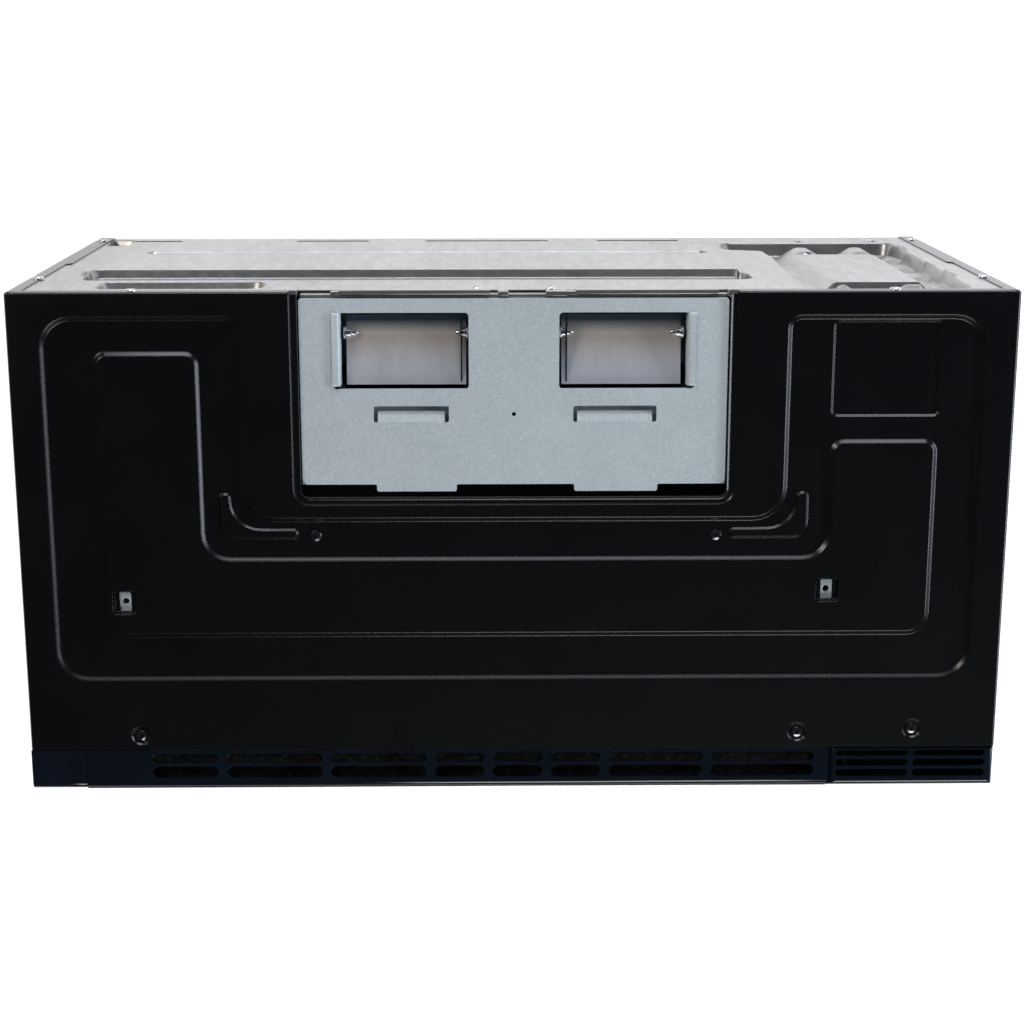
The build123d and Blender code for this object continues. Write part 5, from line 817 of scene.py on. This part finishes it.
def pan_head(group, values):
    """Phillips pan head of unit size: a waisted dome with a cross cut into it, turned by chance."""
    cones = []
    for sides, lower, upper, tall, foot in PAN_CONES:
        cone = add(group, "GeometryNodeMeshCone", {"Vertices": sides, "Radius Top": upper, "Radius Bottom": lower,
                                                   "Depth": tall})
        cones.append(add(group, "GeometryNodeTransform", {"Geometry": cone, "Translation": (0, 0, foot)}))
    body = add(group, "GeometryNodeMeshBoolean", {"Mesh 2": cones}, operation="UNION")
    bars = [add(group, "GeometryNodeMeshCube", {"Size": size}) for size in ((1.05, 0.24, 0.9), (0.24, 1.05, 0.9))]
    cross = add(group, "GeometryNodeMeshBoolean", {"Mesh 2": bars}, operation="UNION")
    sunk = add(group, "GeometryNodeTransform", {"Geometry": cross, "Translation": (0, 0, 0.98)})
    cut = add(group, "GeometryNodeMeshBoolean", {"Mesh 1": body, "Mesh 2": sunk}, operation="DIFFERENCE")
    size = add(group, "ShaderNodeCombineXYZ", {"X": values["Radius"], "Y": values["Radius"], "Z": values["Height"]})
    head = add(group, "GeometryNodeTransform", {"Geometry": cut, "Scale": size})
    aim = add(group, "GeometryNodeInputNamedAttribute", {"Name": "aim"}, data_type="FLOAT_VECTOR")
    turn = add(group, "FunctionNodeAlignRotationToVector", {"Vector": aim}, axis="Z")
    chance = add(group, "FunctionNodeRandomValue", {"Seed": 7}, data_type="FLOAT")
    angle = add(group, "ShaderNodeMath", {0: chance.outputs[1], 1: 6.28}, operation="MULTIPLY")
    spin = add(group, "FunctionNodeAxisAngleToRotation", {"Axis": (0, 0, 1), "Angle": angle})
    turn = add(group, "FunctionNodeRotateRotation", {"Rotation": turn, "Rotate By": spin}, rotation_space="LOCAL")
    return add(group, "GeometryNodeInstanceOnPoints", {"Points": values["Geometry"], "Instance": head,
                                                       "Rotation": turn})


def by_chance(group, least, most, seed):
    """Random vector between two for each point."""
    return add(group, "FunctionNodeRandomValue", {0: least, 1: most, "Seed": seed}, data_type="FLOAT_VECTOR")


def granules(group, values):
    """Crushed grains: small facetted lumps, each turned, sized and shifted by chance."""
    grain = add(group, "GeometryNodeMeshIcoSphere", {"Radius": values["Size"], "Subdivisions": 1})
    turn = by_chance(group, (0, 0, 0), (6.28, 6.28, 6.28), 3)
    size = by_chance(group, (0.7, 0.6, 0.5), (1.3, 1.2, 1.0), 5)
    shift = by_chance(group, (-1, -1, -0.4), (1, 1, 0.4), 9)
    shift = add(group, "ShaderNodeVectorMath", {0: shift, "Scale": values["Size"]}, operation="SCALE")
    loose = add(group, "GeometryNodeSetPosition", {"Geometry": values["Geometry"], "Offset": shift})
    return add(group, "GeometryNodeInstanceOnPoints", {"Points": loose, "Instance": grain, "Rotation": turn,
                                                       "Scale": size})


def make_screws(sizes):
    """Phillips screws of the top and the back."""
    values = {"Radius": sizes.screw_radius, "Height": sizes.screw_height}
    top = [(-152, 189, 414.1), (155, 189, 414.1), (-292.6, 349.4, 415.0), (222.9, 348.5, 415.0), (313.4, 346, 415.0)]
    rear = [(x, 2.2, z) for x, z in ((-371, 327), (371, 327), (-371, 32), (371, 32), (-286, 409), (286, 409))]
    rear += [(x, 3.2, z) for x, z in ((-28, 390), (28, 390), (267, 32), (335, 32))]
    for name, seats, aim, look, node in (("top_screw_heads", top, (0, 0, 1), "nickel", "top_screws"),
                                         ("rear_screw_heads", rear, (0, 1, 0), "zinc_screws", "rear_screws")):
        piece = nodes_piece(name, [at(*seat) for seat in seats], {"aim": [aim] * len(seats)}, pan_head, values, look)
        fit(piece, "root", "zinc_screws", node)


def make_granules(sizes):
    """Charcoal grains of the filter behind the grille's slots."""
    low, high = node_box("charcoal_filter")
    xs, ys = (np.arange(low[axis] + 2, high[axis] - 2, GRAIN_PITCH) for axis in (0, 1))
    points = [(x * MM, y * MM, (high[2] - 0.9) * MM) for x in xs for y in ys]
    piece = nodes_piece("charcoal_grains", points, {}, granules, {"Size": sizes.grain_size}, "charcoal")
    fit(piece, "root", "charcoal")


# --- small hardware
LIP_TOP = 414.6  # upper edge of the strips at the bay and the grille
PRINT = 0.06  # legends' height over their face
KEY_PITCH = 27
SOFT_NODES = ("grille_end_cap", "door_skin", "door_frame", "door_handle", "base_plate", "front_frame", "choke_cover",
              "lamp_cover")
WIDE_EDGE = 0.75  # rounding of the grille and the control panel


def make_lip():
    """Folded rear lip of the blower's bay: strips, tabs, corner steps and the sheet behind."""
    zinc = [slab(-160, 160, 4.9, 6.9, 399, 410.6)]
    for x0, x1 in ((-131, -18), (46, 153)):
        zinc.append(slab(x0, x1, 1.2, 4.6, 404, LIP_TOP, 0.7))
        zinc.append(slab(x0 - 6, x0 + 1, 2.6, 5.2, 404, 412.6, 0.4))
    zinc += [slab(*ends, 1.0, 6.4, 402, 415.4, 0.8) for ends in ((-169, -162), (160, 168))]
    zinc += [slab(*ends, 2.4, 6.0, 404, 413.4, 0.5) for ends in ((-12, -4), (24, 40))]
    grouped("bay_rear_lip", zinc, "smooth_zinc", "galvanised_steel")


def make_seam():
    """Black tongue that closes the joint between the grille and the control panel, and the grille's trim line."""
    tongue = slab(247.8, 249.9, 362.5, 393.2, 350.0, LIP_TOP, 0.3)
    grouped("seam_tongue", [tongue], "black_moulding", "black_moulding")
    trim = slab(-337.0, 247.5, FACE_DEPTH - 0.9, FACE_DEPTH - 0.1, 352.0, LIP_TOP, 0.3)
    grouped("grille_trim", [trim], "stainless", "stainless")


def lettering(name, marks, height, finish_name):
    """Raised print on faces that look forwards: (text, x, depth, z) marks of a height in millimetres."""
    parts = []
    for text, x, depth, z in marks:
        words = bpy.data.curves.new("mark", "FONT")
        words.body = text
        words.size = height * MM
        words.extrude = 0.05 * MM
        words.align_x, words.align_y = "CENTER", "CENTER"
        drawn = placed("mark", words)
        mesh = bpy.data.meshes.new_from_object(drawn.evaluated_get(bpy.context.evaluated_depsgraph_get()))
        mesh.transform(Matrix.Translation(at(x, depth, z)) @ Matrix.Rotation(math.pi / 2, 4, "X"))
        bpy.data.objects.remove(drawn)
        parts.append(mesh)
    return joined(name, parts, finish_name)


def make_legends():
    """Digits of the keypad, key outlines and the clock behind the window."""
    low, high = node_box("keypad")
    face = BACK_Y - low[1] + PRINT
    middle = (low[0] + high[0]) / 2
    marks = [(digit, middle + KEY_PITCH * (index % 3 - 1), face, low[2] + 128 - KEY_PITCH * (index // 3))
             for index, digit in enumerate("123456789")]
    marks.append(("0", middle, face, low[2] + 47))
    fit(lettering("keypad_digits", marks, 11, "legend"), BODY_OF["keypad"], "white_moulding")
    bars = [(low[0] + 8, high[0] - 8, z - 5, 0.2)
            for z in [*(low[2] + 20 + KEY_PITCH * row for row in range(8)), high[2] - 14] if z < high[2] - 8]
    bars += [(middle + KEY_PITCH * column - 5, middle + KEY_PITCH * column + 5, high[2] - 24 - 22 * row, 0.4)
             for row in range(3) for column in (-1, 0, 1)]
    bars = [slab(x0, x1, face - 0.02, face + 0.08, z - half, z + half, 0.03) for x0, x1, z, half in bars]
    fit(joined("keypad_lines", bars, "legend"), BODY_OF["keypad"], "white_moulding")
    low, high = node_box("display_window")
    marks = [("12:30", (low[0] + high[0]) / 2, BACK_Y - low[1] + PRINT, (low[2] + high[2]) / 2)]
    fit(lettering("display_digits", marks, 20, "segments"), BODY_OF["display_window"], "dark_glass")


def make_softened(sizes):
    """Rounded edges on the folded and moulded pieces that are carried over."""
    for node in SOFT_NODES:
        softened(node + "_soft", node, sizes.edge_radius / MM)
    for node in ("vent_grille", "control_panel"):
        softened(node + "_soft", node, WIDE_EDGE)
    softened("bolt_nuts_soft", "bolt_nuts", sizes.edge_radius / MM, "galvanised_steel")


# --- sizes a user would change
class SheetSizes(bpy.types.PropertyGroup):
    """Pressed sheets and soft edges."""
    emboss: bpy.props.FloatProperty(name="Emboss", description="Depth of the top's pressed field", default=0.003,
                                    unit="LENGTH")
    edge_radius: bpy.props.FloatProperty(name="Edge radius", description="Rounding of moulded edges",
                                         default=0.0004, unit="LENGTH")


class HardwareSizes(bpy.types.PropertyGroup):
    """Screws and grains."""
    screw_radius: bpy.props.FloatProperty(name="Screw radius", description="Radius of a pan head", default=0.0046,
                                          unit="LENGTH")
    screw_height: bpy.props.FloatProperty(name="Screw height", description="Height of a pan head", default=0.0019,
                                          unit="LENGTH")
    grain_size: bpy.props.FloatProperty(name="Grain size", description="Radius of a charcoal grain",
                                        default=0.0012, unit="LENGTH")


class StageSizes(bpy.types.PropertyGroup):
    """Camera, floor and lights."""
    lens: bpy.props.FloatProperty(name="Lens", description="Focal length on a 36 mm sensor", default=74.89,
                                  unit="CAMERA")
    floor_colour: bpy.props.StringProperty(name="Floor", description="Floor colour as sRGB hex", default="#F2F2F2")
    side_power: bpy.props.FloatProperty(name="Right light", description="Power of the low right softbox",
                                        default=38.0, unit="POWER")
    wall_power: bpy.props.FloatProperty(name="Wall light", description="Power of the low light on the wall side",
                                        default=38.0, unit="POWER")
    fill_power: bpy.props.FloatProperty(name="Fill light", description="Power of the high fill", default=24.0,
                                        unit="POWER")


FLOOR_HALF = 6.0  # metres
FLOOR_GLOW = 0.72
CAMERA_PLACE = (-0.0231, 0.40875, 2.0064)  # above the wall side, looking down
CAMERA_RIGHT = (0.9999, -0.0007, 0.0121)
CAMERA_UP = (0.0038, 0.9650, -0.2621)
CAMERA_BACK = (-0.0115, 0.2622, 0.9650)
FRAME_SHIFT = (0.0033, 0.0866)  # the photograph is a crop whose optical axis lies below its middle


def make_camera(lens):
    """Camera at the photograph's viewing angle."""
    data = bpy.data.cameras.new("camera")
    data.lens = lens
    data.sensor_width = 36.0
    data.shift_x, data.shift_y = FRAME_SHIFT
    data.clip_end = 50
    camera = placed("camera", data)
    turn = Matrix((CAMERA_RIGHT, CAMERA_UP, CAMERA_BACK)).transposed()
    camera.matrix_world = Matrix.Translation(CAMERA_PLACE) @ turn.to_4x4()
    bpy.context.scene.camera = camera


def soft_light(name, where, aim, size, power, colour="#FFFFFF"):
    """Rectangular soft light that looks at a height over the middle of the floor."""
    data = bpy.data.lights.new(name, "AREA")
    data.shape = "RECTANGLE"
    data.size, data.size_y = size
    data.energy = power
    data.color = linear(colour)[:3]
    look = (Vector((0, 0, aim)) - Vector(where)).to_track_quat("-Z", "Y")
    placed(name, data).matrix_world = Matrix.Translation(where) @ look.to_matrix().to_4x4()


def make_floor(colour):
    """Plain pale floor; the camera and mirrored rays see it lifted to white, with the object's soft shadow."""
    made, tree = bare_material("pale_floor")
    shader = add(tree, "ShaderNodeBsdfPrincipled", {"Base Color": linear(colour), "Roughness": 0.9})
    glow = add(tree, "ShaderNodeEmission", {"Color": linear("#FFFFFF"), "Strength": FLOOR_GLOW})
    clean = add(tree, "ShaderNodeAddShader", {0: shader, 1: glow})
    ray = add(tree, "ShaderNodeLightPath").outputs
    sharp = ray["Is Camera Ray"]
    for kind in ("Is Transmission Ray", "Is Glossy Ray"):
        sharp = add(tree, "ShaderNodeMath", {0: sharp, 1: ray[kind]}, operation="MAXIMUM")
    mixed = add(tree, "ShaderNodeMixShader", {0: sharp, 1: shader, 2: clean})
    add(tree, "ShaderNodeOutputMaterial", {"Surface": mixed})
    mesh = bpy.data.meshes.new("floor")
    corners = [(x * FLOOR_HALF, y * FLOOR_HALF, 0) for x, y in ((-1, -1), (1, -1), (1, 1), (-1, 1))]
    mesh.from_pydata(corners, [], [(0, 1, 2, 3)])
    mesh.materials.append(made)
    placed("floor", mesh)


def make_world():
    """Studio air: pale walls low down, a dark ceiling, and white behind the object."""
    world = bpy.data.worlds.new("studio")
    bpy.context.scene.world = world
    world.use_nodes = True
    tree = world.node_tree
    tree.nodes.clear()
    where = add(tree, "ShaderNodeTexCoord").outputs["Generated"]
    height = add(tree, "ShaderNodeSeparateXYZ", {"Vector": where}).outputs["Z"]
    share = add(tree, "ShaderNodeMapRange", {"Value": height, "From Min": 0.1, "From Max": 0.6})
    air = add(tree, "ShaderNodeMix", {"Factor": share, 6: linear("#4E5156"), 7: linear("#3B4249")}, data_type="RGBA")
    seen = add(tree, "ShaderNodeLightPath").outputs["Is Camera Ray"]
    lit = add(tree, "ShaderNodeBackground", {"Color": air, "Strength": 0.8})
    white = add(tree, "ShaderNodeBackground", {"Color": linear("#FFFFFF"), "Strength": 1.0})
    mixed = add(tree, "ShaderNodeMixShader", {0: seen, 1: lit, 2: white})
    add(tree, "ShaderNodeOutputWorld", {"Surface": mixed})


# --- steps
class MICROWAVE_OT_finishes(bpy.types.Operator):
    """Procedural finish for every node of the construction"""
    bl_idname = "microwave.finishes"
    bl_label = "Finishes"

    def execute(self, context):
        FINISH.update(make_finishes())
        for node, slot in SUBPARTS.items():
            mesh = NODES[node].data
            mesh.materials.clear()
            mesh.materials.append(FINISH[slot])
        return {"FINISHED"}


class MICROWAVE_OT_wrapper(bpy.types.Operator):
    """Black wrapper with its pressings"""
    bl_idname = "microwave.wrapper"
    bl_label = "Wrapper"

    def execute(self, context):
        make_wrapper(context.scene.microwave_sheets)
        return {"FINISHED"}


class MICROWAVE_OT_back(bpy.types.Operator):
    """Drawn back panel"""
    bl_idname = "microwave.back"
    bl_label = "Back panel"

    def execute(self, context):
        make_back()
        return {"FINISHED"}


class MICROWAVE_OT_blower(bpy.types.Operator):
    """Blower plate, its rear lip and the back-draft flaps"""
    bl_idname = "microwave.blower"
    bl_label = "Blower plate and flaps"

    def execute(self, context):
        make_plate()
        make_flaps()
        make_lip()
        return {"FINISHED"}


class MICROWAVE_OT_hardware(bpy.types.Operator):
    """Screws, charcoal grains, the joint's tongue and the grille's trim"""
    bl_idname = "microwave.hardware"
    bl_label = "Hardware"

    def execute(self, context):
        sizes = context.scene.microwave_hardware
        make_screws(sizes)
        make_granules(sizes)
        make_seam()
        return {"FINISHED"}


class MICROWAVE_OT_edges(bpy.types.Operator):
    """Soft edges on mouldings and folds, and the print on the keys"""
    bl_idname = "microwave.edges"
    bl_label = "Soft edges"

    def execute(self, context):
        make_softened(context.scene.microwave_sheets)
        make_legends()
        return {"FINISHED"}


class MICROWAVE_OT_stage(bpy.types.Operator):
    """Camera, floor, world and lights"""
    bl_idname = "microwave.stage"
    bl_label = "Stage"

    def execute(self, context):
        sizes = context.scene.microwave_stage
        context.scene.view_settings.view_transform = "Standard"
        make_camera(sizes.lens)
        make_floor(sizes.floor_colour)
        make_world()
        soft_light("right_low", (2.4, 0.1, 1.15), 0.35, (1.8, 0.5), sizes.side_power, "#E2E9F6")
        soft_light("wall_low", (0.2, 2.6, 1.25), 0.35, (2.2, 0.6), sizes.wall_power, "#E6ECF6")
        soft_light("front_high", (0.5, -2.0, 1.9), 0.3, (1.6, 0.7), sizes.fill_power)
        soft_light("left_back", (-2.0, 1.5, 2.0), 0.4, (0.9, 0.9), sizes.fill_power, "#FFF6EC")
        return {"FINISHED"}


class MICROWAVE_PT_panel(bpy.types.Panel):
    """Lists the steps"""
    bl_idname = "MICROWAVE_PT_panel"
    bl_label = "Microwave"
    bl_space_type = "VIEW_3D"
    bl_region_type = "UI"
    bl_category = "Microwave"

    def draw(self, context):
        for step in STEPS:
            self.layout.operator(step.bl_idname)


GROUPS = {"microwave_sheets": SheetSizes, "microwave_hardware": HardwareSizes, "microwave_stage": StageSizes}
STEPS = [MICROWAVE_OT_finishes, MICROWAVE_OT_wrapper, MICROWAVE_OT_back, MICROWAVE_OT_blower, MICROWAVE_OT_hardware,
         MICROWAVE_OT_edges, MICROWAVE_OT_stage]


def register():
    for kind in [*GROUPS.values(), *STEPS, MICROWAVE_PT_panel]:
        bpy.utils.register_class(kind)
    for name, kind in GROUPS.items():
        setattr(bpy.types.Scene, name, bpy.props.PointerProperty(type=kind))


def unregister():
    for name in GROUPS:
        delattr(bpy.types.Scene, name)
    for kind in reversed([*GROUPS.values(), *STEPS, MICROWAVE_PT_panel]):
        bpy.utils.unregister_class(kind)


def main():
    register()
    for step in STEPS:
        group, name = step.bl_idname.split(".")
        getattr(getattr(bpy.ops, group), name)()


if __name__ == "__main__":
    main()
